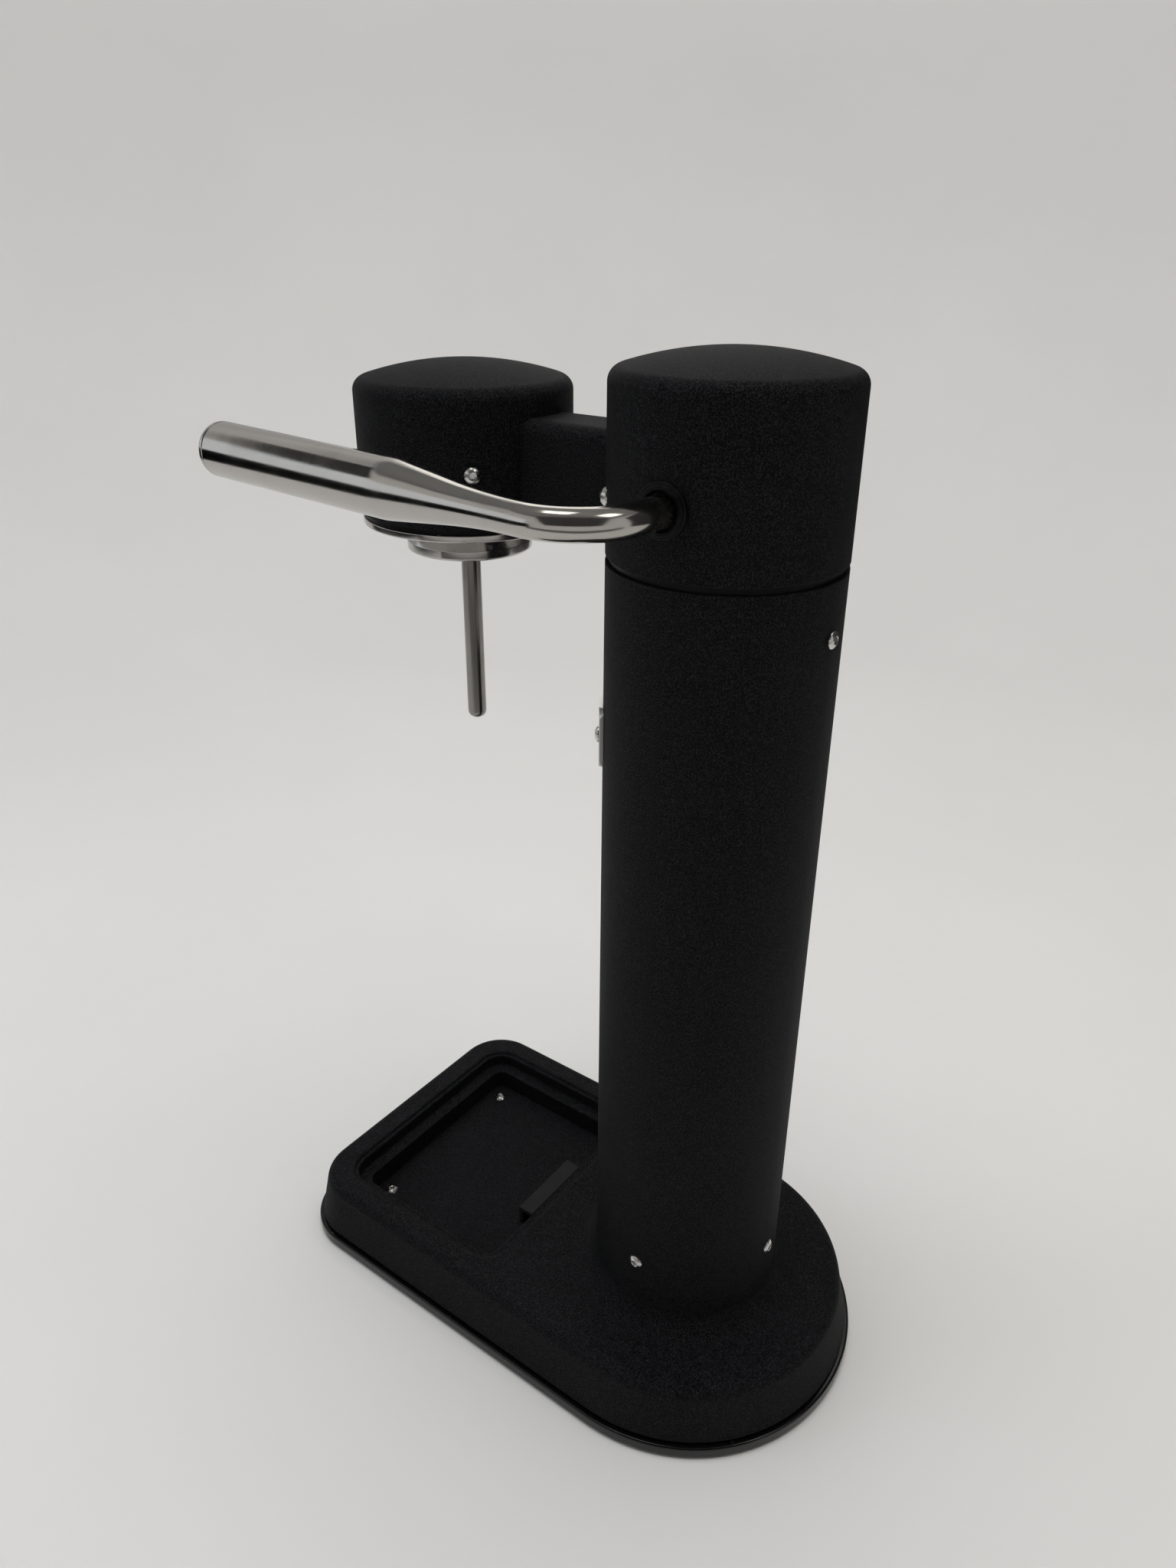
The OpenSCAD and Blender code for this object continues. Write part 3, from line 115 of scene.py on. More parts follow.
class BaseSizes(bpy.types.PropertyGroup):
    """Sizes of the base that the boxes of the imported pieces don't give."""

    corner: length("Front corner", "Corner radius of the base plate at the front", 28)
    lip_in: length("Lip step", "Distance of the housing's lower edge from the plate's edge", 2)
    lean: length("Wall lean", "Lean of the housing's wall between its lower and upper edge", 4.6)
    top: length("Top height", "Height of the housing's flat top", 30.3)
    edge: length("Top edge", "Edge radius round the housing's top", 4)
    groove_z: length("Lip height", "Height of the lip's upper face", 6)
    groove_in: length("Groove depth", "Depth of the shadow groove behind the lip's edge", 3.6)
    lip_round: length("Lip rounding", "Edge radius of the lip", 0.9)
    tray_w: length("Recess width", "Width of the drip tray recess", 112)
    tray_l: length("Recess length", "Length of the drip tray recess", 91)
    tray_rear: length("Recess rear", "Distance from the column's axis to the recess's rear wall", 67.3)
    tray_corner: length("Recess corner", "Corner radius of the recess", 11)
    rim: length("Recess rim", "Width of the recess's stepped rim", 3)
    rim_upper: length("Upper rim", "Radius of the rim's upper edge", 1.3)
    rim_drop: length("Rim drop", "Fall of the rim between its two edges", 0.15)
    rim_lower: length("Lower rim", "Radius of the rim's lower edge", 0.7)
    ledge_drop: length("Ledge depth", "Depth of the ledge that carries a tray", 7.5)
    ledge_w: length("Ledge width", "Width of that ledge", 6)
    tub_depth: length("Tub depth", "Depth of the recess floor below the ledge", 10.4)
    fold: length("Fold", "Rounding of the recess's inner edges", 0.7)
    neck_fillet: length("Neck fillet", "Fillet radius between the neck and the top", 11)
    seam: length("Neck seam", "Edge radius of the neck where the column stands on it", 0.8)
    spigot_r: length("Spigot radius", "Radius of the spigot inside the column", 37.35)
    bay_r: length("Bay radius", "Radius of the gas cylinder's bay", 34)
    catch_t: length("Catch sheet", "Sheet thickness of the tray catch", 2.2)
    catch_fold: length("Catch fold", "Radius of the tray catch's fold", 0.8)
    catch_edge: length("Catch edge", "Radius of the tray catch's other edges", 0.18)


class TopSizes(bpy.types.PropertyGroup):
    """Sizes of the drum, the head, the collar and the screws."""

    crown: length("Crown", "Rise of the crowned tops", 6.6)
    crown_edge: length("Crown edge", "Edge radius of the crowned tops", 5)
    wall: length("Shell wall", "Wall thickness of the drum and the head", 2.5)
    rim_round: length("Rim rounding", "Edge radius of the shells' lower rims", 0.35)
    collar_lip_r: length("Collar lip", "Radius of the bottle collar's lip", 23.7)
    collar_lip_h: length("Collar lip height", "Height of the lip's round wall", 3.5)
    socket_r: length("Socket radius", "Inner radius of the bottle socket", 20.5)
    socket_wall: length("Socket wall", "Wall thickness of the socket", 1.5)
    nozzle_r: length("Nozzle radius", "Radius of the nozzle", 3.7)
    nozzle_tip: length("Nozzle tip", "Edge radius of the nozzle's tip", 2.8)
    nozzle_bore: length("Nozzle bore", "Radius of the nozzle's mouth", 0.63)
    plate_t: length("Front plate", "Distance of the front plate's face from the column's wall", 1.4)
    screw_r: length("Screw head", "Radius of the round screw heads", 3)
    button_h: length("Button height", "Height of the column's and tray's screw heads", 1.65)
    pan_h: length("Pan height", "Height of the drum's and head's screw heads", 2.2)
    hex_r: length("Screw socket", "Corner radius of the screws' six-sided sockets", 1.3)


class LeverSizes(bpy.types.PropertyGroup):
    """Sizes of the lever, its bush and its return spring."""

    rest: turn("Rest angle", "Angle of the lever above level at rest", 1.1)
    toe: turn("Toe-in", "Angle by which the grip leans in towards the head", 3)
    bend_out: length("Bend start", "Distance from the column's axis to the start of the bend", 50.5)
    bend_r: length("Bend radius", "Bend radius of the rod", 24)
    rod_start: length("Rod start", "Distance from the column's axis to the rod's hidden end", 12.05)
    reach: length("Length", "Length of the lever from its bend to its tip", 142)
    rod_r: length("Rod radius", "Radius of the rod", 5)
    grip_r: length("Grip radius", "Radius of the grip", 9.5)
    grip_l: length("Grip length", "Length of the round grip", 90)
    taper_l: length("Taper length", "Length of the taper between the grip and the rod", 37.5)
    blend_r: length("Taper run", "Radius of the soft run from the rod into the taper", 220)
    shoulder_r: length("Shoulder", "Radius of the shoulder between the taper and the grip", 40)
    cap_l: length("Cap length", "Length of the grip's end cap", 3.2)
    cap_edge: length("Cap edge", "Edge radius of the end cap", 2.4)
    seam: length("Seam", "Width and depth of the seam's chamfers", 0.3)
    seam_round: length("Seam rounding", "Edge radius of the seam's chamfers", 0.1)
    bush_step: length("Bush step", "Height of the bush's lower outer ring below its face", 0.6)
    bush_ring: length("Bush ring", "Width of that outer ring", 1)
    bush_bore: length("Bush bore", "Radius of the bush's hole", 6.2)
    bush_edge: length("Bush edge", "Edge radius of the bush", 0.22)
    bush_sleeve_r: length("Bush sleeve", "Radius of the bush's sleeve inside the drum", 7.6)
    bush_seat: length("Bush seat", "Distance from the column's axis to the bush's flat seat", 38.37)
    wire_r: length("Spring wire", "Radius of the return spring's wire", 0.9)
    coils: number("Spring coils", "Turns of the return spring", 3.5)


class FinishLooks(bpy.types.PropertyGroup):
    """Colours of the finishes."""

    powder: colour("Powder coat", "Dark tone of the powder coat", (0.0004, 0.0005, 0.0007))
    powder_light: colour("Powder grain", "Light tone of the powder coat's grain", (0.0166, 0.0173, 0.0198))
    # Both catch tones sit above the powder coat's: partly the catch's own finish, partly painted light for its lit
    # top.
    catch: colour("Tray catch", "Dark tone of the tray catch", (0.0110, 0.0110, 0.0112))
    catch_light: colour("Tray catch rubs", "Light tone of the tray catch", (0.0180, 0.0180, 0.0182))
    gloss: colour("Gloss black", "Gloss black of the lip and the rings", (0.0020, 0.0020, 0.0022))
    rubber: colour("Rubber", "Black of the foot and the seals", (0.012, 0.012, 0.012))
    bush: colour("Bush", "Black of the lever's bush", (0.0022, 0.0025, 0.0030))
    lever: colour("Lever steel", "Tone of the lever's stainless steel", (0.475, 0.455, 0.428))
    steel: colour("Polished steel", "Tone of the flange's and collar's stainless steel", (0.48, 0.465, 0.445))
    # Painted shade: the nozzle's tone is darker than the polished steel's, standing for the dark surroundings it
    # reflects.
    nozzle: colour("Nozzle steel", "Tone of the nozzle's drawn steel", (0.27, 0.258, 0.240))
    sheet: colour("Sheet steel", "Tone of the front plate", (0.60, 0.595, 0.58))
    screw: colour("Screw steel", "Tone of the screws", (0.64, 0.63, 0.61))
    machined: colour("Machined steel", "Tone of the shaft, the cam and the tappet", (0.40, 0.40, 0.41))
    brass: colour("Brass", "Tone of the brass fittings", (0.58, 0.40, 0.16))
    cast: colour("Cast aluminium", "Tone of the frame in the column's top", (0.34, 0.345, 0.36))
    core: colour("Core plastic", "Tone of the head's core", (0.045, 0.046, 0.050))


class StudioLooks(bpy.types.PropertyGroup):
    """The floor, the lights and the camera."""

    paper: colour("Paper", "Colour of the floor and the backdrop", (0.629, 0.624, 0.617))
    room: colour("Room", "Colour of the light from the room", (0.58, 0.59, 0.61))
    room_level: number("Room level", "Strength of the light from the room", 0.55)
    top_light: watts("Top light", "Power of the soft light above", 25.5)
    window: watts("Window light", "Power of the long light at the left", 0.36)
    side: watts("Side light", "Power of the soft light from the left", 2.0)
    back: watts("Back light", "Power of the light behind that gives the tops their sheen", 2.1)
    lamp: watts("Ceiling lamps", "Power of each of the two lamps that glint in the steel", 2.0)
    floor_r: length("Floor radius", "Radius of the flat floor", 850)
    wall_r: length("Wall radius", "Radius of the round backdrop", 1500)
    wall_h: length("Wall height", "Height of the round backdrop", 1700)
    lens: number("Lens", "Focal length in millimetres on a 36 mm sensor", 25.77)
    camera_at: spot("Camera", "Place of the camera", (0.31492, 0.17713, 0.44715))
    target: spot("Target", "Point that the camera looks at", (0.012703, -0.045996, 0.258615))
    roll: turn("Roll", "Roll of the camera about its line of sight", 0.327)


class WaterMaker(bpy.types.PropertyGroup):
    """All the settings of the water maker."""

    base: PointerProperty(type=BaseSizes)
    top: PointerProperty(type=TopSizes)
    lever: PointerProperty(type=LeverSizes)
    looks: PointerProperty(type=FinishLooks)
    studio: PointerProperty(type=StudioLooks)
    round_steps: count("Round steps", "Steps of a full turn on the large round pieces", 144)
    small_steps: count("Small steps", "Steps of a full turn on the small round pieces", 64)


def settings():
    """The values that the sidebar shows."""
    return bpy.context.scene.water_maker


# Finishes


class Value:
    """A socket of a finish. Sums and products of values add Math nodes."""

    def __init__(self, finish, socket):
        self.finish = finish
        self.socket = socket

    def __add__(self, other):
        return self.finish.maths("ADD", self, other)

    def __sub__(self, other):
        return self.finish.maths("SUBTRACT", self, other)

    def __rsub__(self, other):
        return self.finish.maths("SUBTRACT", other, self)

    def __mul__(self, other):
        return self.finish.maths("MULTIPLY", self, other)

    __radd__ = __add__
    __rmul__ = __mul__

    def between(self, low, high):
        """0 below low, 1 above high, and a soft run between them."""
        inputs = {"Value": self, "From Min": low, "From Max": high}
        return self.finish.add("ShaderNodeMapRange", {"interpolation_type": "SMOOTHSTEP"}, inputs)


class Finish:
    """A material in the making: its nodes, and the shader that they feed."""

    def __init__(self, name):
        self.material = bpy.data.materials.new(name)
        self.material.use_nodes = True
        self.tree = self.material.node_tree
        self.tree.nodes.clear()
        self.at = self.add("ShaderNodeTexCoord", output="Object")

    def add(self, kind, settings=None, inputs=None, output=0):
        """Adds a node, applies its settings and then its inputs, and gives one of its outputs."""
        node = self.tree.nodes.new(kind)
        for name, value in (settings or {}).items():
            setattr(node, name, value)
        for name, value in (inputs or {}).items():
            if isinstance(value, Value):
                self.tree.links.new(value.socket, node.inputs[name])
            else:
                node.inputs[name].default_value = value
        return Value(self, node.outputs[output])

    def maths(self, operation, *values):
        """A Math node on values and plain numbers."""
        return self.add("ShaderNodeMath", {"operation": operation}, dict(enumerate(values)))

    def noise(self, scale, detail, stretch=None, rough=0.5):
        """Soft noise between 0 and 1, with that many waves in a metre, stretched if a vector is given."""
        at = self.at
        if stretch:
            at = self.add("ShaderNodeMapping", None, {"Vector": at, "Scale": stretch})
        inputs = {"Vector": at, "Scale": scale, "Detail": detail, "Roughness": rough}
        return self.add("ShaderNodeTexNoise", None, inputs)

    def specks(self, scale, least):
        """1 in those cells of a fine mosaic whose random number is over the least one, else 0."""
        cells = self.add("ShaderNodeTexVoronoi", None, {"Vector": self.at, "Scale": scale}, "Color")
        chance = self.add("ShaderNodeSeparateColor", None, {"Color": cells})
        return chance.between(least, least + 0.02)

    def axis(self, name):
        """One of the three Object coordinates, in metres."""
        return self.add("ShaderNodeSeparateXYZ", None, {"Vector": self.at}, name)

    def mix(self, factor, first, second):
        """A colour between two colours."""
        first, second = (c if isinstance(c, Value) else (*c, 1.0) for c in (first, second))
        return self.add("ShaderNodeMix", {"data_type": "RGBA"}, {0: factor, 6: first, 7: second}, 2)

    def bump(self, height, distance, strength, under=None):
        """A normal that follows a height between 0 and 1 over that distance in metres."""
        inputs = {"Height": height, "Distance": distance, "Strength": strength}
        if under:
            inputs["Normal"] = under
        return self.add("ShaderNodeBump", None, inputs)

    def metal(self, base, rough, normal):
        """The finished material of a bare metal."""
        return self.done({"Base Color": base, "Metallic": 1.0, "Roughness": rough, "Normal": normal})

    def coat(self, base, rough, specular, normal=None):
        """The finished material of a paint, a plastic, paper or cloth."""
        sockets = {"Base Color": base, "Roughness": rough, "Specular IOR Level": specular}
        if normal:
            sockets["Normal"] = normal
        return self.done(sockets)

    def done(self, sockets):
        """Feeds the shader and gives the finished material."""
        shader = self.add("ShaderNodeBsdfPrincipled", None, sockets)
        surface = self.tree.nodes.new("ShaderNodeOutputMaterial")
        self.tree.links.new(shader.socket, surface.inputs["Surface"])
        return self.material


def powder_black(f, looks):
    """Fine-grained matt black powder coat, slightly uneven over the larger faces."""
    grain = f.noise(2000, 2, rough=0.6)
    height = grain * 0.75 + f.noise(3600, 1) * 0.25
    patches = f.noise(24, 3)
    tone = height.between(0.46, 0.61) * 0.92 + patches.between(0.35, 0.75) * 0.08
    base = f.mix(tone, looks.powder, looks.powder_light)
    return f.coat(base, 0.56 + grain * 0.18 + patches * 0.06, 0.105, f.bump(height, 0.00030, 0.90))


def catch_black_lit(f, looks):
    """Smoother satin black of the folded tray catch. Its lighter tone is partly its own finish and partly painted
    light for its lit top.
    """
    grain = f.noise(1500, 2)
    rubs = f.noise(140, 4)
    # Painted light in part: this lighter tone stands for the catch's lit top as well as its finish.
    tone = grain.between(0.35, 0.7) * 0.6 + rubs.between(0.4, 0.8) * 0.4
    base = f.mix(tone, looks.catch, looks.catch_light)
    return f.coat(base, 0.48 + rubs * 0.16, 0.10, f.bump(grain, 0.00012, 0.5))


def gloss_black(f, looks):
    """Glossy black moulded plastic with faint wipe marks."""
    smears = f.noise(38, 4, (1, 1, 4))
    dust = f.specks(900, 0.985)
    base = f.mix(dust * 0.25, looks.gloss, (0.03, 0.03, 0.03))
    rough = 0.12 + smears.between(0.35, 0.8) * 0.12 + dust * 0.3
    return f.coat(base, rough, 0.4, f.bump(f.noise(160, 2), 0.00004, 0.3))


def ring_black(f, looks):
    """Duller black of the thin rings in the seams."""
    smears = f.noise(60, 3)
    base = f.mix(smears.between(0.35, 0.75), looks.gloss, (0.0055, 0.0055, 0.0060))
    return f.coat(base, 0.30 + smears * 0.16, 0.12)


def rubber_black(f, looks):
    """Dull black rubber with a fine moulded grain."""
    grain = f.noise(1800, 3)
    base = f.mix(grain.between(0.35, 0.7), looks.rubber, (0.026, 0.026, 0.026))
    return f.coat(base, 0.72 + grain * 0.16, 0.3, f.bump(grain, 0.0001, 0.5))


def bush_black(f, looks):
    """Smooth black plastic, turned, with fine rings about the lever's axis."""
    rings = f.noise(2600, 1, (1, 0.02, 0.02))
    smears = f.noise(300, 3)
    base = f.mix(smears.between(0.4, 0.75), looks.bush, (0.0055, 0.0062, 0.0072))
    return f.coat(base, 0.24 + rings * 0.08 + smears * 0.12, 0.16, f.bump(rings, 0.00002, 0.4))


def lever_steel(f, looks):
    """Polished stainless steel with fine turned lines round the grip, wipe marks, and wear near the bush."""
    lines = f.noise(1500, 4, (0.05, 1, 0.05), rough=0.65)
    waves = f.noise(120, 2, (0.6, 1, 0.6))
    smears = f.noise(70, 4)
    root = 1 - f.axis("X").between(0.0425, 0.0600)
    blotch = f.noise(380, 4, rough=0.65).between(0.44, 0.60)
    worn = root * (0.25 + blotch * 0.75)
    base = f.mix(smears.between(0.45, 0.85) * 0.35, looks.lever, (0.37, 0.348, 0.318))
    base = f.mix(worn, base, (0.15, 0.138, 0.122))
    rough = 0.095 + lines * 0.08 + smears.between(0.4, 0.8) * 0.07 + worn * 0.20
    return f.metal(base, rough, f.bump(waves, 0.00010, 0.20, under=f.bump(lines, 0.000014, 0.4)))


def polished_steel(f, looks):
    """Polished stainless steel of the flange and the collar, with fine turned rings."""
    rings = f.noise(2800, 2, (0.03, 0.03, 1))
    smears = f.noise(120, 4).between(0.4, 0.8)
    spots = f.specks(700, 0.975)
    base = f.mix(smears * 0.4, looks.steel, (0.36, 0.345, 0.325))
    base = f.mix(spots * 0.35, base, (0.25, 0.24, 0.22))
    return f.metal(base, 0.11 + rings * 0.06 + smears * 0.10 + spots * 0.2, f.bump(rings, 0.00001, 0.4))


def nozzle_steel_shaded(f, looks):
    """Drawn steel tube of the nozzle, with fine lines along it. Its tone is darker than the flange's steel:
    painted shade for the dark surroundings that it reflects.
    """
    lines = f.noise(2600, 2, (1, 1, 0.02))
    smears = f.noise(150, 3)
    # Painted shade: both tones are darker copies of the polished steel.
    base = f.mix(smears.between(0.4, 0.8) * 0.5, looks.nozzle, tuple(c * 0.75 for c in looks.nozzle))
    return f.metal(base, 0.16 + lines * 0.08 + smears * 0.08, f.bump(lines, 0.00001, 0.4))


def sheet_steel(f, looks):
    """Brushed stainless sheet with fine level lines."""
    lines = f.noise(3000, 3, (0.03, 0.03, 1), rough=0.65)
    base = f.mix(lines * 0.5, looks.sheet, (0.46, 0.455, 0.44))
    return f.metal(base, 0.24 + lines * 0.10 + f.noise(60, 3) * 0.08, f.bump(lines, 0.000015, 0.5))


def screw_steel(f, looks):
    """Bright tumbled steel of the screws, with small dents and darker spots."""
    dents = f.noise(1500, 3)
    spots = f.noise(900, 2).between(0.55, 0.75)
    base = f.mix(spots * 0.55, looks.screw, (0.34, 0.33, 0.315))
    return f.metal(base, 0.19 + dents * 0.14, f.bump(dents, 0.00004, 0.5))


def machined_steel(f, looks):
    """Turned and ground steel of the mechanism."""
    marks = f.noise(2200, 2, (1, 0.05, 0.05))
    stain = f.noise(130, 4).between(0.4, 0.8)
    base = f.mix(stain * 0.5, looks.machined, (0.27, 0.265, 0.26))
    return f.metal(base, 0.26 + marks * 0.14, f.bump(marks, 0.00002, 0.5))


def brass(f, looks):
    """Turned brass, slightly dulled."""
    rings = f.noise(2200, 2, (0.05, 0.05, 1))
    dull = f.noise(110, 4).between(0.4, 0.8)
    base = f.mix(dull * 0.6, looks.brass, (0.34, 0.225, 0.09))
    return f.metal(base, 0.22 + rings * 0.12 + dull * 0.14, f.bump(rings, 0.00002, 0.5))


def cast_aluminium(f, looks):
    """Die-cast aluminium with a fine sandy skin."""
    skin = f.noise(1100, 4, rough=0.6)
    flow = f.noise(45, 3).between(0.35, 0.75)
    base = f.mix(flow * 0.6, looks.cast, (0.24, 0.243, 0.25))
    return f.metal(base, 0.42 + skin * 0.2, f.bump(skin, 0.00012, 0.6))


def core_plastic(f, looks):
    """Dark grey glass-filled plastic of the head's core."""
    fibre = f.noise(900, 3, (1, 1, 0.3))
    base = f.mix(fibre.between(0.4, 0.7), looks.core, (0.075, 0.076, 0.080))
    return f.coat(base, 0.46 + fibre * 0.18, 0.4, f.bump(fibre, 0.00006, 0.4))


def paper_white(f, studio):
    """Pale seamless paper of the floor and the backdrop, slightly mottled."""
    mottle = f.noise(3, 3).between(0.3, 0.7)
    return f.coat(f.mix(mottle, tuple(c * 0.97 for c in studio.paper), studio.paper), 0.9, 0.1)


def cloth_grey(f, tone):
    """Dull cloth of the shades that the steel reflects."""
    return f.coat(f.mix(f.noise(300, 2), (tone * 0.8,) * 3, (tone * 1.2,) * 3), 0.95, 0.0)


FINISHES = {made.__name__: made for made in (
    powder_black, catch_black_lit, gloss_black, ring_black, rubber_black, bush_black, lever_steel, polished_steel,
    nozzle_steel_shaded, sheet_steel, screw_steel, machined_steel, brass, cast_aluminium, core_plastic)}


def finish(name):
    """The material of a finish, made when it is first needed."""
    full = "finish_" + name
    return bpy.data.materials.get(full) or FINISHES[name](Finish(full), settings().looks)


# Shapes


def verts_in(geom):
    """The points among the results of an operator."""
    return [g for g in geom if isinstance(g, bmesh.types.BMVert)]


def edges_in(geom):
    """The edges among the results of an operator."""
    return [g for g in geom if isinstance(g, bmesh.types.BMEdge)]


def go_on(bm, last, at):
    """Draws an edge from the last point of a line to a place, and gives the new point."""
    made = bmesh.ops.extrude_vert_indiv(bm, verts=[last])["verts"][0]
    made.co = at
    return made


def go_round(bm, last, centre, axis, angle, steps):
    """Draws an arc from the last point of a line round a centre, and gives the arc's end."""
    drawn = bmesh.ops.spin(bm, geom=[last], cent=centre, axis=axis, angle=angle, steps=steps)
    return verts_in(drawn["geom_last"])[0]


class Outline:
    """A line on the plane of radius and height, drawn from point to point and spun into a round piece."""

    def __init__(self, radius, height):
        self.bm = bmesh.new()
        self.first = self.last = self.bm.verts.new((radius, 0, height))

    def to(self, radius, height):
        """Goes on straight to a point."""
        self.last = go_on(self.bm, self.last, (radius, 0, height))

    def arc(self, radius, height, angle, steps):
        """Goes on round a centre. A positive angle turns from upwards to outwards."""
        self.last = go_round(self.bm, self.last, (radius, 0, height), (0, 1, 0), angle, steps)

    def through(self, *corners):
        """Goes on through corners of radius, height and rounding. The last corner isn't rounded."""
        here = Vector((self.last.co.x, self.last.co.z))
        for (radius, height, rounding), ahead in zip(corners, (*corners[1:], None)):
            point = Vector((radius, height))
            if rounding and ahead:
                arrive = (point - here).normalized()
                leave = (Vector(ahead[:2]) - point).normalized()
                bend = arrive.angle_signed(leave)
                back = rounding * math.tan(abs(bend) / 2)
                right = Vector((arrive.y, -arrive.x)) * math.copysign(1, bend)
                start = point - arrive * back
                self.to(*start)
                self.arc(*(start + right * rounding), bend, steps=4)
                here = point + leave * back
            else:
                self.to(*point)
                here = point

    def close(self):
        """Goes back to the first point."""
        self.bm.edges.new((self.last, self.first))

    def spun(self, steps):
        """Turns the line once round the vertical axis, and gives the mesh."""
        bmesh.ops.spin(self.bm, geom=self.bm.verts[:] + self.bm.edges[:], cent=ORIGIN, axis=UP,
                       angle=math.tau, steps=steps, use_merge=True)
        return tidy(self.bm)


def tidy(bm):
    """Merges double points and turns all faces outwards."""
    bmesh.ops.remove_doubles(bm, verts=bm.verts, dist=THIN)
    bmesh.ops.recalc_face_normals(bm, faces=bm.faces)
    return bm


def add_copies(bm, shape, places):
    """Adds a copy of a mesh at each place, and frees that mesh."""
    one = bpy.data.meshes.new("one")
    shape.to_mesh(one)
    shape.free()
    for at in places:
        before = set(bm.verts)
        bm.from_mesh(one)
        bmesh.ops.transform(bm, matrix=at, verts=[v for v in bm.verts if v not in before])
    bpy.data.meshes.remove(one)


def new_object(name, bm, material):
    """Makes a smooth-shaded object of a mesh and links it to the scene."""
    mesh = bpy.data.meshes.new(name)
    bm.to_mesh(mesh)
    bm.free()
    mesh.polygons.foreach_set("use_smooth", [True] * len(mesh.polygons))
    mesh.materials.append(material)
    made = bpy.data.objects.new(name, mesh)
    bpy.context.scene.collection.objects.link(made)
    return made


def place_piece(name, bm, slot, node, body="body", at=Matrix(), sharp=32, look=None):
    """Makes an object of a mesh, with its finish, on its body, in the place of its CAD node."""
    bmesh.ops.transform(bm, matrix=at, verts=bm.verts)
    piece = new_object(name, bm, finish(look or slot))
    piece.data.set_sharp_from_angle(angle=math.radians(sharp))
    weighted = piece.modifiers.new("Large faces first", "WEIGHTED_NORMAL")
    weighted.keep_sharp = True
    weighted.weight = 100
    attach(piece, body)
    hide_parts(node)
    return piece


def loop_edges(vert):
    """All edges of the wire loop that a point is on."""
    found = set()
    ahead = [vert]
    while ahead:
        for edge in ahead.pop().link_edges:
            if edge not in found:
                found.add(edge)
                ahead.extend(edge.verts)
    return list(found)


def arc_loop(bm, z, *arcs):
    """Wire loop of arcs joined by straight edges. Each arc has its start, centre, angle and steps."""
    first = last = bm.verts.new((*arcs[0][0], z))
    for start, centre, angle, steps in arcs:
        if last is not first:
            last = go_on(bm, last, (*start, z))
        last = go_round(bm, last, (*centre, z), UP, angle, steps)
    bm.edges.new((last, first))
    return loop_edges(first)


def base_loop(bm, base, inset, z):
    """Wire loop of the base's plan inside the plate's edge: half round behind, rounded front corners."""
    half = PLATE_HIGH.x - inset
    x = PLATE_HIGH.x - base.corner
    y = PLATE_LOW.y + base.corner
    return arc_loop(bm, z, ((half, 0), (0, 0), math.pi, 72), ((-half, y), (-x, y), QUARTER, 20),
                    ((x, PLATE_LOW.y + inset), (x, y), QUARTER, 20))


def tray_loop(bm, base, grow, z):
    """Wire loop of the drip tray recess, drawn out by a distance."""
    corner = base.tray_corner + grow
    half = base.tray_w / 2 + grow
    rear = -base.tray_rear + grow
    front = -base.tray_rear - base.tray_l - grow
    x = half - corner
    back = rear - corner
    fore = front + corner
    corners = (((half, back), (x, back)), ((-x, rear), (-x, back)), ((-half, fore), (-x, fore)),
               ((x, front), (x, fore)))
    return arc_loop(bm, z, *((start, centre, QUARTER, 12) for start, centre in corners))


def ring_loop(bm, radius, z):
    """Wire loop of a circle round the column's axis."""
    steps = settings().round_steps
    made = bmesh.ops.create_circle(bm, segments=steps, radius=radius, matrix=shift(0, 0, z))
    return loop_edges(made["verts"][0])


def fill(bm, edges):
    """One flat face inside a wire loop, facing up."""
    face = bmesh.ops.contextual_create(bm, geom=edges)["faces"][0]
    face.normal_update()
    if face.normal.z < 0:
        face.normal_flip()
    return face


def step_in(bm, face, inward, rise):
    """Insets a face and moves it along its normal, and gives the edges of its new outline."""
    bmesh.ops.inset_region(bm, faces=[face], use_boundary=True, use_even_offset=True,
                           thickness=max(inward, THIN), depth=rise)
    return list(face.edges)


def step_round(bm, face, radius, steps, way):
    """Insets a face in small steps along a quarter round that goes up if way is 1, and down if it is -1."""
    angles = [QUARTER * i / steps for i in range(steps + 1)]
    for near, far in zip(angles, angles[1:]):
        inward = radius * (math.sin(far) - math.sin(near))
        step_in(bm, face, inward, way * radius * (math.cos(near) - math.cos(far)))


def fill_between(bm, *loops):
    """Flat triangles between an outer loop and the loops inside it."""
    bmesh.ops.triangle_fill(bm, use_beauty=True, edges=[e for loop in loops for e in loop])


def level_edges(bm, z):
    """Edges that lie at a height."""
    return [e for e in bm.edges if all(abs(v.co.z - z) < THIN for v in e.verts)]


def open_edges(bm, z):
    """Edges at a height that have a face on one side only."""
    return [e for e in level_edges(bm, z) if e.is_boundary]


def bent(edges, least=1):
    """Those edges where two faces meet at more than the least angle, in radians."""
    return [e for e in edges if e.calc_face_angle(0) > least]


def soften(bm, edges, radius, steps=4):
    """Rounds edges."""
    bmesh.ops.bevel(bm, geom=edges, offset=radius, offset_type="OFFSET", segments=steps, profile=0.5,
                    affect="EDGES", material=-1, clamp_overlap=True)


def sink_tray(bm, base, face):
    """Sinks the recess: two rounded steps of the rim, wall, ledge, inner wall and floor."""
    step_round(bm, face, base.rim_upper, steps=6, way=-1)
    step_in(bm, face, base.rim - base.rim_upper - base.rim_lower, -base.rim_drop)
    step_round(bm, face, base.rim_lower, steps=5, way=-1)
    step_in(bm, face, 0, base.rim_upper + base.rim_lower + base.rim_drop - base.ledge_drop)
    step_in(bm, face, base.ledge_w, 0)
    step_in(bm, face, 0, -base.tub_depth)
    ledge = base.top - base.ledge_drop
    soften(bm, bent(level_edges(bm, ledge) + level_edges(bm, ledge - base.tub_depth)), base.fold)


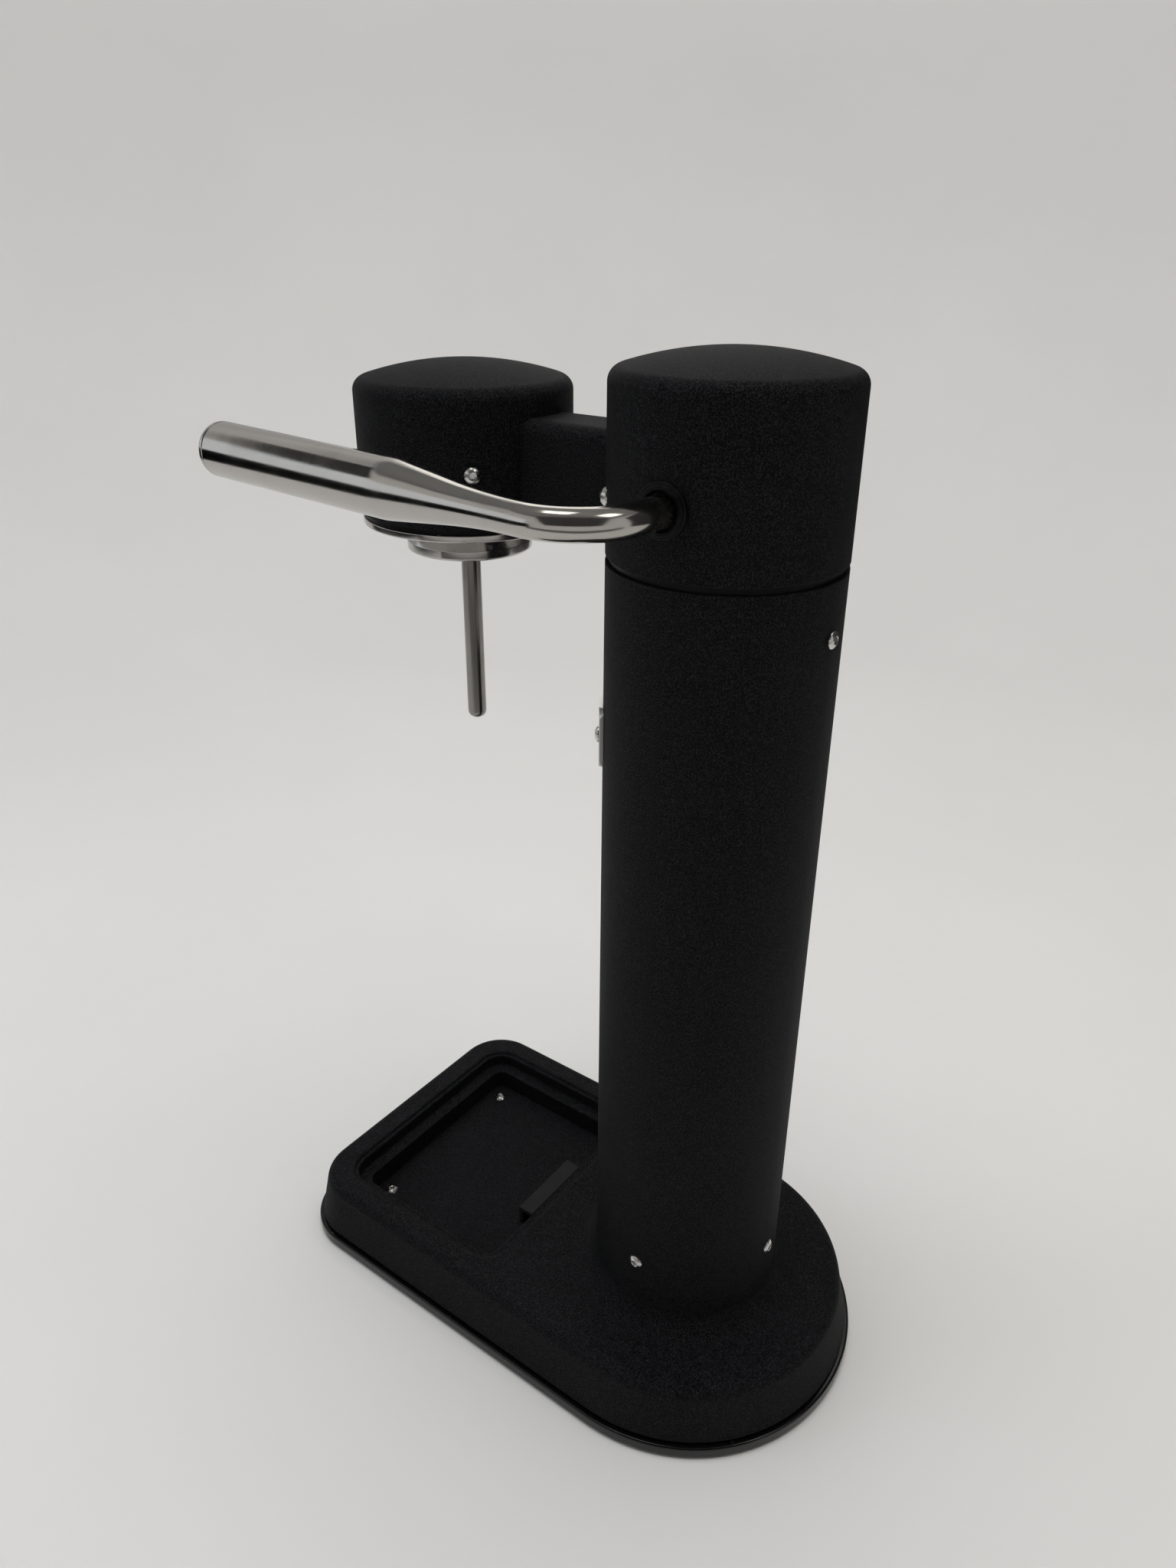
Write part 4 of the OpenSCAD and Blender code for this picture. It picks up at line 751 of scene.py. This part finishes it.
def raise_neck(bm, base, face, low):
    """Raises the flared neck and its spigot, and sinks the open bay to the underside."""
    step_round(bm, face, base.neck_fillet, steps=14, way=1)
    step_in(bm, face, 0, TUBE_LOW.z - base.top - base.neck_fillet)
    step_in(bm, face, COLUMN_R - base.spigot_r, 0)
    step_in(bm, face, 0, HOUSING_HIGH.z - TUBE_LOW.z)
    step_in(bm, face, base.spigot_r - base.bay_r, 0)
    step_in(bm, face, 0, low - HOUSING_HIGH.z)
    bmesh.ops.delete(bm, geom=[face], context="FACES_ONLY")
    soften(bm, bent(level_edges(bm, TUBE_LOW.z)), base.seam, steps=3)


class WATER_OT_base_housing(bpy.types.Operator):
    """Leaning housing with the recess for the drip tray and the neck that carries the column"""

    bl_idname = "water.base_housing"
    bl_label = "Base housing"

    def execute(self, context):
        base = settings().base
        low = HOUSING_LOW.z
        bm = bmesh.new()
        top = fill(bm, base_loop(bm, base, base.lip_in, low))
        rim = step_in(bm, top, base.lean, base.top - low)
        slope = math.atan2(base.lean, base.top - low)
        soften(bm, rim, base.edge * math.tan((QUARTER - slope) / 2), steps=8)
        top = max(bm.faces, key=lambda f: (f.calc_center_median().z, f.calc_area()))
        edge = list(top.edges)
        bmesh.ops.delete(bm, geom=[top], context="FACES_ONLY")
        tray = tray_loop(bm, base, base.rim, base.top)
        neck = ring_loop(bm, COLUMN_R + base.neck_fillet, base.top)
        fill_between(bm, edge, tray, neck)
        sink_tray(bm, base, fill(bm, tray))
        raise_neck(bm, base, fill(bm, neck), low)
        fill_between(bm, open_edges(bm, low))
        place_piece("base_housing_shell", tidy(bm), "powder_black", "base_housing")
        return {"FINISHED"}


class WATER_OT_base_plate(bpy.types.Operator):
    """Gloss black plate whose edge shows as a lip below the shadow groove"""

    bl_idname = "water.base_plate"
    bl_label = "Base plate"

    def execute(self, context):
        base = settings().base
        low, high = PLATE_LOW.z, PLATE_HIGH.z
        bm = bmesh.new()
        face = fill(bm, base_loop(bm, base, 0, low))
        step_in(bm, face, 0, base.groove_z - low)
        step_in(bm, face, base.groove_in, 0)
        step_in(bm, face, 0, high - base.groove_z)
        bmesh.ops.delete(bm, geom=[face], context="FACES_ONLY")
        bmesh.ops.bridge_loops(bm, edges=ring_loop(bm, base.bay_r, high) + ring_loop(bm, base.bay_r, low))
        fill_between(bm, open_edges(bm, high))
        fill_between(bm, open_edges(bm, low))
        tidy(bm)
        soften(bm, bent(level_edges(bm, base.groove_z)), base.lip_round)
        place_piece("base_plate_lip", bm, "gloss_black", "base_plate")
        return {"FINISHED"}


class WATER_OT_tray_catch(bpy.types.Operator):
    """Small folded hood on the recess's rear ledge, open at its ends"""

    bl_idname = "water.tray_catch"
    bl_label = "Tray catch"

    def execute(self, context):
        base = settings().base
        sheet = base.catch_t
        front, rear = CATCH_LOW.y, CATCH_HIGH.y
        low, high = CATCH_LOW.z, CATCH_HIGH.z
        section = [(front, low), (front + sheet, low), (front + sheet, high - sheet),
                   (rear, high - sheet), (rear, high), (front, high)]
        bm = bmesh.new()
        face = bm.faces.new([bm.verts.new((CATCH_LOW.x, y, z)) for y, z in section])
        drawn = bmesh.ops.extrude_face_region(bm, geom=[face])["geom"]
        bmesh.ops.translate(bm, vec=(CATCH_HIGH.x - CATCH_LOW.x, 0, 0), verts=verts_in(drawn))
        tidy(bm)
        fold = [e for e in level_edges(bm, high) if all(abs(v.co.y - front) < THIN for v in e.verts)]
        soften(bm, fold, base.catch_fold, steps=5)
        soften(bm, bent(bm.edges), base.catch_edge, steps=2)
        # The catch's lighter finish is partly painted light for its lit top.
        place_piece("tray_catch_hood", bm, "powder_black", "tray_catch", look="catch_black_lit")
        return {"FINISHED"}


def place_shell(name, node, top, y):
    """One shell, drawn from the middle of its top down its wall and back up inside."""
    sizes = settings().top
    low = DRUM_LOW.z
    crown_r = (COLUMN_R ** 2 + sizes.crown ** 2) / (2 * sizes.crown)
    edge_r = COLUMN_R - sizes.crown_edge
    edge_z = top - crown_r + math.sqrt((crown_r - sizes.crown_edge) ** 2 - edge_r ** 2)
    lean = math.asin(edge_r / (crown_r - sizes.crown_edge))
    inside = COLUMN_R - sizes.wall
    roof = edge_z - sizes.wall
    line = Outline(0, top)
    line.arc(0, top - crown_r, lean, steps=28)
    line.arc(edge_r, edge_z, QUARTER - lean, steps=14)
    soft = sizes.rim_round
    line.through((COLUMN_R, low, soft), (inside, low, soft), (inside, roof, 0), (0, roof, 0))
    bm = line.spun(settings().round_steps)
    place_piece(name, bm, "powder_black", node, at=shift(0, y, 0))


class WATER_OT_shells(bpy.types.Operator):
    """Drum and head: round shells with a crowned top and a soft edge"""

    bl_idname = "water.shells"
    bl_label = "Drum and head"

    def execute(self, context):
        place_shell("drum_cover", "drum_shell", DRUM_HIGH.z, 0)
        place_shell("head_cover", "head_shell", HEAD_HIGH.z, HEAD_Y)
        return {"FINISHED"}


def grip_mesh(lever, steps):
    """Taper and grip about the upright axis, open at the rod's end."""
    taper = math.atan2(lever.grip_r - lever.rod_r, lever.taper_l)
    grip_start = lever.reach - lever.grip_l
    blend_start = grip_start - lever.taper_l - lever.blend_r * math.tan(taper / 2)
    shoulder_end = grip_start + lever.shoulder_r * math.tan(taper / 2)
    cap_start = lever.reach - lever.cap_l
    line = Outline(lever.rod_r, 0)
    line.to(lever.rod_r, blend_start)
    line.arc(lever.rod_r + lever.blend_r, blend_start, taper, steps=24)
    line.to(lever.grip_r - lever.shoulder_r * (1 - math.cos(taper)),
            shoulder_end - lever.shoulder_r * math.sin(taper))
    line.arc(lever.grip_r - lever.shoulder_r, shoulder_end, -taper, steps=16)
    line.through((lever.grip_r, cap_start - lever.seam, lever.seam_round),
                 (lever.grip_r - lever.seam, cap_start, 0), (0, cap_start, 0))
    return line.spun(steps)


def add_rod(bm, lever, steps):
    """Straight rod out of the drum and its bend, up to the grip's open end."""
    at = shift(lever.rod_start, 0, 0) @ twist(QUARTER, "Y")
    ring = bmesh.ops.create_circle(bm, cap_ends=True, segments=steps, radius=lever.rod_r, matrix=at)
    drawn = bmesh.ops.extrude_edge_only(bm, edges=loop_edges(ring["verts"][0]))["geom"]
    ahead = verts_in(drawn)
    bmesh.ops.translate(bm, vec=(lever.bend_out - lever.rod_start, 0, 0), verts=ahead)
    bmesh.ops.spin(bm, geom=ahead + edges_in(drawn), cent=(lever.bend_out, -lever.bend_r, 0),
                   axis=(0, 0, -1), angle=QUARTER + lever.toe, steps=40)


def cap_mesh(lever, steps):
    """End cap with a soft edge about the grip's axis."""
    start = lever.reach - lever.cap_l
    line = Outline(0, start)
    line.through((lever.grip_r - lever.seam, start, 0),
                 (lever.grip_r, start + lever.seam, lever.seam_round),
                 (lever.grip_r, lever.reach - lever.cap_edge, 0))
    line.arc(lever.grip_r - lever.cap_edge, lever.reach - lever.cap_edge, -QUARTER, steps=12)
    line.to(0, lever.reach)
    return line.spun(steps)


class WATER_OT_lever(bpy.types.Operator):
    """Lever: rod with its bend, taper and round grip, and the end cap behind a fine seam"""

    bl_idname = "water.lever"
    bl_label = "Lever"

    def execute(self, context):
        lever = settings().lever
        steps = settings().small_steps
        along = (shift(lever.bend_out, -lever.bend_r, 0) @ twist(-lever.toe, "Z")
                 @ shift(lever.bend_r, 0, 0) @ twist(QUARTER, "X"))
        at_rest = shift(*PIVOT) @ twist(-lever.rest, "X")
        bm = grip_mesh(lever, steps)
        bmesh.ops.transform(bm, matrix=along, verts=bm.verts)
        add_rod(bm, lever, steps)
        place_piece("lever_grip", tidy(bm), "lever_steel", "lever_arm", body="lever", at=at_rest, sharp=25)
        bm = cap_mesh(lever, steps)
        place_piece("lever_cap", bm, "lever_steel", "grip_cap", body="lever", at=at_rest @ along, sharp=25)
        return {"FINISHED"}


class WATER_OT_lever_bush(bpy.types.Operator):
    """Stepped black bush round the lever's rod"""

    bl_idname = "water.lever_bush"
    bl_label = "Lever bush"

    def execute(self, context):
        lever = settings().lever
        bore, sleeve, seat, soft = lever.bush_bore, lever.bush_sleeve_r, lever.bush_seat, lever.bush_edge
        outer = (BUSH_HIGH.z - BUSH_LOW.z) / 2
        inner = outer - lever.bush_ring
        end, face = BUSH_LOW.x, BUSH_HIGH.x
        step = face - lever.bush_step
        line = Outline(bore, (end + face) / 2)
        line.through((bore, face, soft), (inner, face, soft), (inner, step, soft / 2), (outer, step, soft),
                     (outer, seat, 0), (sleeve, seat, 0), (sleeve, end, 0), (bore, end, 0))
        line.close()
        bm = line.spun(settings().small_steps)
        at = shift(0, 0, PIVOT.z) @ twist(QUARTER, "Y")
        place_piece("lever_bush_ring", bm, "bush_black", "lever_bush", at=at)
        return {"FINISHED"}


class WATER_OT_return_spring(bpy.types.Operator):
    """Return spring under the tappet, in its shape at rest"""

    bl_idname = "water.return_spring"
    bl_label = "Return spring"

    def execute(self, context):
        lever = settings().lever
        middle = (SPRING_LOW + SPRING_HIGH) / 2
        height = SPRING_HIGH.z - SPRING_LOW.z
        coil_r = (SPRING_HIGH.x - SPRING_LOW.x) / 2 - lever.wire_r
        steps_a_turn = 36
        steps = round(lever.coils * steps_a_turn)
        bm = bmesh.new()
        at = shift(coil_r, 0, lever.wire_r) @ twist(QUARTER, "X")
        bmesh.ops.create_circle(bm, cap_ends=True, segments=12, radius=lever.wire_r, matrix=at)
        bmesh.ops.spin(bm, geom=bm.faces[:], cent=ORIGIN, axis=UP, angle=lever.coils * math.tau,
                       dvec=(0, 0, (height - 2 * lever.wire_r) / steps), steps=steps)
        foot = Vector((middle.x, middle.y, SPRING_LOW.z))
        at = shift(*foot)
        spring = place_piece("return_spring_wire", tidy(bm), "machined_steel", "return_spring", at=at)
        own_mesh(spring)
        return {"FINISHED"}


def flange_mesh(top, steps):
    """Flat ring round the socket, with a soft outer edge."""
    gap, soft_low, soft_high = 0.05 * MM, 0.6 * MM, 0.35 * MM
    inner = top.socket_r + top.socket_wall + gap
    outer = FLANGE_HIGH.x
    low, high = FLANGE_LOW.z, FLANGE_HIGH.z
    line = Outline(inner, (low + high) / 2)
    line.through((inner, low, 0), (outer, low, soft_low), (outer, high, soft_high), (inner, high, 0))
    line.close()
    return line.spun(steps)


def collar_mesh(top, steps):
    """Socket with a thick lip, and three lugs inside that hold a bottle."""
    mouth, lip_low, lip_high, root = 0.7 * MM, 1.0 * MM, 0.5 * MM, 0.6 * MM
    inner = top.socket_r
    neck = inner + top.socket_wall
    lip_r = top.collar_lip_r
    low, high = COLLAR_LOW.z, COLLAR_HIGH.z
    lip_z = low + top.collar_lip_h
    line = Outline(inner, (low + high) / 2)
    line.through((inner, low, mouth), (lip_r, low, lip_low), (lip_r, lip_z, lip_high),
                 (neck, lip_z + 2 * (lip_r - neck), root), (neck, high, 0), (inner, high, 0))
    line.close()
    bm = line.spun(steps)
    seat, tip = inner + 0.02 * MM, inner - 1.6 * MM
    lug_low, lug_high = low + 5 * MM, low + 8 * MM
    lug = Outline(seat, lug_low)
    lug.through((tip, lug_low, 0), (tip, lug_high, 0), (seat, lug_high, 0))
    lug.close()
    section = bmesh.ops.contextual_create(lug.bm, geom=lug.bm.edges[:])["faces"]
    bmesh.ops.spin(lug.bm, geom=section, cent=ORIGIN, axis=UP, angle=math.radians(30), steps=10)
    add_copies(bm, tidy(lug.bm), [twist(math.radians(angle), "Z") for angle in (-105, 15, 135)])
    return bm


def nozzle_mesh(top, steps):
    """Tube with a rounded tip, a shoulder that holds it in the head, and a fine bore."""
    bore, tube = top.nozzle_bore, top.nozzle_r
    shoulder, stem = 6.5 * MM, 4 * MM
    mouth, soft = 0.15 * MM, 0.3 * MM
    low, high = NOZZLE_LOW.z, NOZZLE_HIGH.z
    upper = FLANGE_LOW.z + 6.35 * MM
    lower = upper - 3 * MM
    start = low + 6 * MM
    line = Outline(bore, start)
    line.through((bore, low, mouth), (tube, low, top.nozzle_tip), (tube, lower, soft),
                 (shoulder, lower, soft), (shoulder, upper, 0), (stem, upper, 0), (stem, high, 0),
                 (bore, high, 0))
    line.close()
    return line.spun(steps)


class WATER_OT_collar(bpy.types.Operator):
    """Polished flange, bottle collar and nozzle under the head"""

    bl_idname = "water.collar"
    bl_label = "Collar and nozzle"

    def execute(self, context):
        top = settings().top
        at = shift(0, HEAD_Y, 0)
        steps = settings().round_steps
        bm = flange_mesh(top, steps)
        place_piece("flange_disc", bm, "polished_steel", "flange_ring", at=at)
        bm = collar_mesh(top, steps)
        place_piece("collar_ring", bm, "polished_steel", "bottle_collar", at=at)
        bm = nozzle_mesh(top, settings().small_steps)
        # The nozzle's finish is a darker copy of the polished steel: painted shade.
        place_piece("nozzle_tube", bm, "polished_steel", "nozzle", at=at, look="nozzle_steel_shaded")
        return {"FINISHED"}


def on_wall(degrees, radius):
    """Place on a round wall, at an angle from the front towards +X, with its own Z pointing outwards."""
    return twist(math.radians(degrees), "Z") @ shift(0, -radius, 0) @ twist(QUARTER, "X")


def place_screws(name, node, height, places):
    """Like screws in one piece, each turned by another angle about its own axis."""
    first, apart = math.radians(17), math.radians(23)
    turned = [at @ twist(first + apart * i, "Z") for i, at in enumerate(places)]
    bm = bmesh.new()
    add_copies(bm, screw_mesh(settings().top, height), turned)
    place_piece(f"{name}_screw_heads", bm, "screw_steel", node)


def screw_mesh(top, height):
    """One round head with a short shank, standing on the ground, with a six-sided socket."""
    steps = 48
    rim, edge, soft = 0.45 * MM, 0.12 * MM, 0.08 * MM
    shank_r, shank_end = 1.5 * MM, -3 * MM
    mouth = top.hex_r * 1.12
    rise = height - rim
    dome = (top.screw_r ** 2 + rise ** 2) / (2 * rise)
    at_mouth = math.asin(mouth / dome)
    at_rim = math.asin((top.screw_r - edge) / dome)
    line = Outline(mouth, height - dome + dome * math.cos(at_mouth))
    line.arc(0, height - dome, at_rim - at_mouth, steps=10)
    line.through((top.screw_r, rim * 0.75, soft), (top.screw_r, 0, 0), (shank_r, 0, 0),
                 (shank_r, shank_end, 0), (0, shank_end, 0))
    bm = line.spun(steps)
    mouth_edges = [e for e in bm.edges if e.is_boundary]
    level = mouth_edges[0].verts[0].co.z - edge
    at = shift(0, 0, level)
    corners = bmesh.ops.create_circle(bm, segments=6, radius=top.hex_r, matrix=at)["verts"]
    cut = bmesh.ops.subdivide_edges(bm, edges=loop_edges(corners[0]), cuts=steps // 6 - 1)
    hexagon = loop_edges(verts_in(cut["geom_inner"])[0])
    bmesh.ops.bridge_loops(bm, edges=mouth_edges + hexagon)
    drawn = bmesh.ops.extrude_edge_only(bm, edges=hexagon)["geom"]
    bmesh.ops.translate(bm, vec=(0, 0, -height / 2), verts=verts_in(drawn))
    bmesh.ops.contextual_create(bm, geom=edges_in(drawn))
    return tidy(bm)


class WATER_OT_screws(bpy.types.Operator):
    """Round-headed steel screws with six-sided sockets"""

    bl_idname = "water.screws"
    bl_label = "Screws"

    def execute(self, context):
        top = settings().top
        base = settings().base
        button, pan = top.button_h, top.pan_h
        plate_r = COLUMN_R + top.plate_t
        for name, node, height, radius, y, angles in (
            ("foot", "column_foot_screws", button, COLUMN_R, 0, (0, 90, 180, 270)),
            ("top", "column_top_screws", button, COLUMN_R, 0, (0, 180)),
            ("plate", "front_plate_screws", button, plate_r, 0, (-33, 33)),
            ("drum", "drum_screws", pan, COLUMN_R, 0, (-41, 41)),
            ("head", "head_screws", pan, COLUMN_R, HEAD_Y, (135, 225)),
        ):
            low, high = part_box(node)
            over = shift(0, y, (low.z + high.z) / 2)
            place_screws(name, node, height, [over @ on_wall(angle, radius) for angle in angles])
        low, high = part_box("tray_screws")
        x, y = high.x - top.screw_r, (low.y + high.y) / 2
        floor = base.top - base.ledge_drop - base.tub_depth
        place_screws("tray", "tray_screws", button, [shift(s * x, y, floor) for s in (-1, 1)])
        return {"FINISHED"}


class WATER_OT_cad_finishes(bpy.types.Operator):
    """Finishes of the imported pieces, by their slots in the record"""

    bl_idname = "water.cad_finishes"
    bl_label = "Finishes of the packed pieces"

    OTHER_LOOKS = {"parting_ring": "ring_black", "head_ring": "ring_black", "gas_tube": "polished_steel"}

    def execute(self, context):
        looks = {part["node"]: part["material_slot"] for part in frame["record"]["subparts"]}
        looks.update(self.OTHER_LOOKS)
        for name, node in frame["nodes"].items():
            for slot in node.material_slots:
                slot.material = finish(looks[name])
        return {"FINISHED"}


def aimed(at, target):
    """Place at one point that looks at another."""
    way = Vector(target) - Vector(at)
    return shift(*at) @ way.to_track_quat("-Z", "Y").to_matrix().to_4x4()


def add_backdrop(studio):
    """Round floor just below the rubber foot, which sweeps up into a round wall."""
    floor_z = -0.3 * MM
    line = Outline(0, floor_z)
    line.to(studio.floor_r, floor_z)
    line.arc(studio.floor_r, studio.wall_r - studio.floor_r, -QUARTER, steps=24)
    line.to(studio.wall_r, studio.wall_h)
    paper = new_object("backdrop", line.spun(96), paper_white(Finish("paper"), studio))


def add_room(scene, studio):
    """Even light from all round."""
    scene.world = bpy.data.worlds.new("room")
    scene.world.use_nodes = True
    shader = scene.world.node_tree.nodes["Background"]
    shader.inputs["Color"].default_value = (*studio.room, 1.0)
    shader.inputs["Strength"].default_value = studio.room_level


def add_light(name, power, size, at, target, tint):
    """A flat soft light that the camera doesn't see."""
    lamp = bpy.data.lights.new(name, "AREA")
    lamp.shape = "RECTANGLE"
    lamp.size, lamp.size_y = size
    lamp.energy = power
    lamp.color = tint
    holder = bpy.data.objects.new(name, lamp)
    holder.visible_camera = False
    holder.matrix_world = aimed(at, target)
    bpy.context.scene.collection.objects.link(holder)
    return holder


def add_shade(name, size, at, target, tone, lean=0):
    """A flat cloth that only reflections show, turned by the lean in degrees."""
    bm = bmesh.new()
    bmesh.ops.create_grid(bm, x_segments=1, y_segments=1, size=0.5)
    bmesh.ops.scale(bm, vec=(*size, 1), verts=bm.verts)
    turned = aimed(at, target) @ twist(math.radians(lean), "Z")
    bmesh.ops.transform(bm, matrix=turned, verts=bm.verts)
    cloth = new_object(name, bm, cloth_grey(Finish(name + "_cloth"), tone))
    cloth.visible_camera = False
    cloth.visible_diffuse = False
    cloth.visible_shadow = False
    return cloth


def add_camera(scene, studio):
    """The camera that was fitted to the photo."""
    lens = bpy.data.cameras.new("camera")
    lens.sensor_fit = "AUTO"
    lens.sensor_width = 36
    lens.lens = studio.lens
    lens.clip_start = 0.01
    lens.clip_end = 20
    holder = bpy.data.objects.new("camera", lens)
    holder.matrix_world = aimed(studio.camera_at, studio.target) @ twist(studio.roll, "Z")
    scene.collection.objects.link(holder)
    scene.camera = holder


class WATER_OT_studio(bpy.types.Operator):
    """Pale seamless floor and backdrop, soft lights, shades for the steel, and the camera"""

    bl_idname = "water.studio"
    bl_label = "Studio"

    def execute(self, context):
        studio = settings().studio
        context.scene.view_settings.view_transform = "Standard"
        add_backdrop(studio)
        add_room(context.scene, studio)
        middle = Vector((0, -0.05, 0.25))
        grip = Vector((0.072, -0.095, 0.372))
        left = Vector((0.66, -0.75, 0))
        up = Vector(UP)
        soft = add_light("top_light", studio.top_light, (1.5, 1.5), (-0.02, -0.05, 1.9), middle,
                         (1.0, 0.985, 0.96))
        soft.visible_glossy = False
        soft = add_light("side_light", studio.side, (0.5, 1.0), (0.75, -1.0, 0.9), middle, (0.75, 0.87, 1.0))
        soft.visible_glossy = False
        sheen = add_light("back_light", studio.back, (0.95, 0.7), (-1.0, -0.52, 1.15), middle,
                          (1.0, 0.97, 0.91))
        sheen.visible_diffuse = False
        add_light("window_light", studio.window, (0.95, 0.30), grip + left * 0.70 + up * 0.165, grip,
                  (0.74, 0.87, 1.0))
        for which, at in enumerate(((0.11, -0.23, 1.75), (-0.18, 0.76, 1.74)), 1):
            add_light(f"ceiling_lamp_{which}", studio.lamp, (0.42, 0.42), at, grip, (1.0, 0.97, 0.90))
        add_shade("low_shade", (1.0, 0.235), grip + left * 0.60 - up * 0.096, grip, 0.002)
        add_shade("high_shade", (0.48, 0.20), grip + Vector((0.261, -0.699, 0.503)), grip, 0.04, -35)
        add_shade("ceiling_shade", (3.2, 3.2), (0, 0, 1.98), middle, 0.45)
        add_shade("near_shade", (1.5, 0.17), (0.42, 0.28, 0.085), (0, -0.05, 0.085), 0.16)
        add_shade("right_shade", (1.5, 0.90), (-0.60, 0.32, 0.55), (0, -0.05, 0.55), 0.05)
        add_shade("rear_shade", (0.7, 0.50), (-0.12, -0.78, 0.55), (0, -0.05, 0.55), 0.5)
        dark = add_shade("camera_shade", (1.5, 1.1), (0.74, 0.50, 0.92), middle, 0.08)
        dark.visible_diffuse = True
        add_camera(context.scene, studio)
        return {"FINISHED"}


class WATER_PT_panel(bpy.types.Panel):
    """Settings and steps of the water maker"""

    bl_idname = "WATER_PT_panel"
    bl_label = "Water maker"
    bl_space_type = "VIEW_3D"
    bl_region_type = "UI"
    bl_category = "Water maker"

    def draw(self, context):
        for step in OPERATORS:
            self.layout.operator(step.bl_idname)
        for group in ("base", "top", "lever", "looks", "studio"):
            box = self.layout.box()
            values = getattr(settings(), group)
            for name in values.__annotations__:
                box.prop(values, name)


OPERATORS = (WATER_OT_studio, WATER_OT_cad_finishes, WATER_OT_base_housing, WATER_OT_base_plate,
             WATER_OT_tray_catch, WATER_OT_shells, WATER_OT_lever, WATER_OT_lever_bush,
             WATER_OT_return_spring, WATER_OT_collar, WATER_OT_screws)
CLASSES = (BaseSizes, TopSizes, LeverSizes, FinishLooks, StudioLooks, WaterMaker, *OPERATORS, WATER_PT_panel)


def register():
    for group in CLASSES:
        bpy.utils.register_class(group)
    bpy.types.Scene.water_maker = PointerProperty(type=WaterMaker)


def unregister():
    del bpy.types.Scene.water_maker
    for group in reversed(CLASSES):
        bpy.utils.unregister_class(group)


def main():
    register()
    for step in OPERATORS:
        area, name = step.bl_idname.split(".")
        getattr(getattr(bpy.ops, area), name)()


if __name__ == "__main__":
    main()
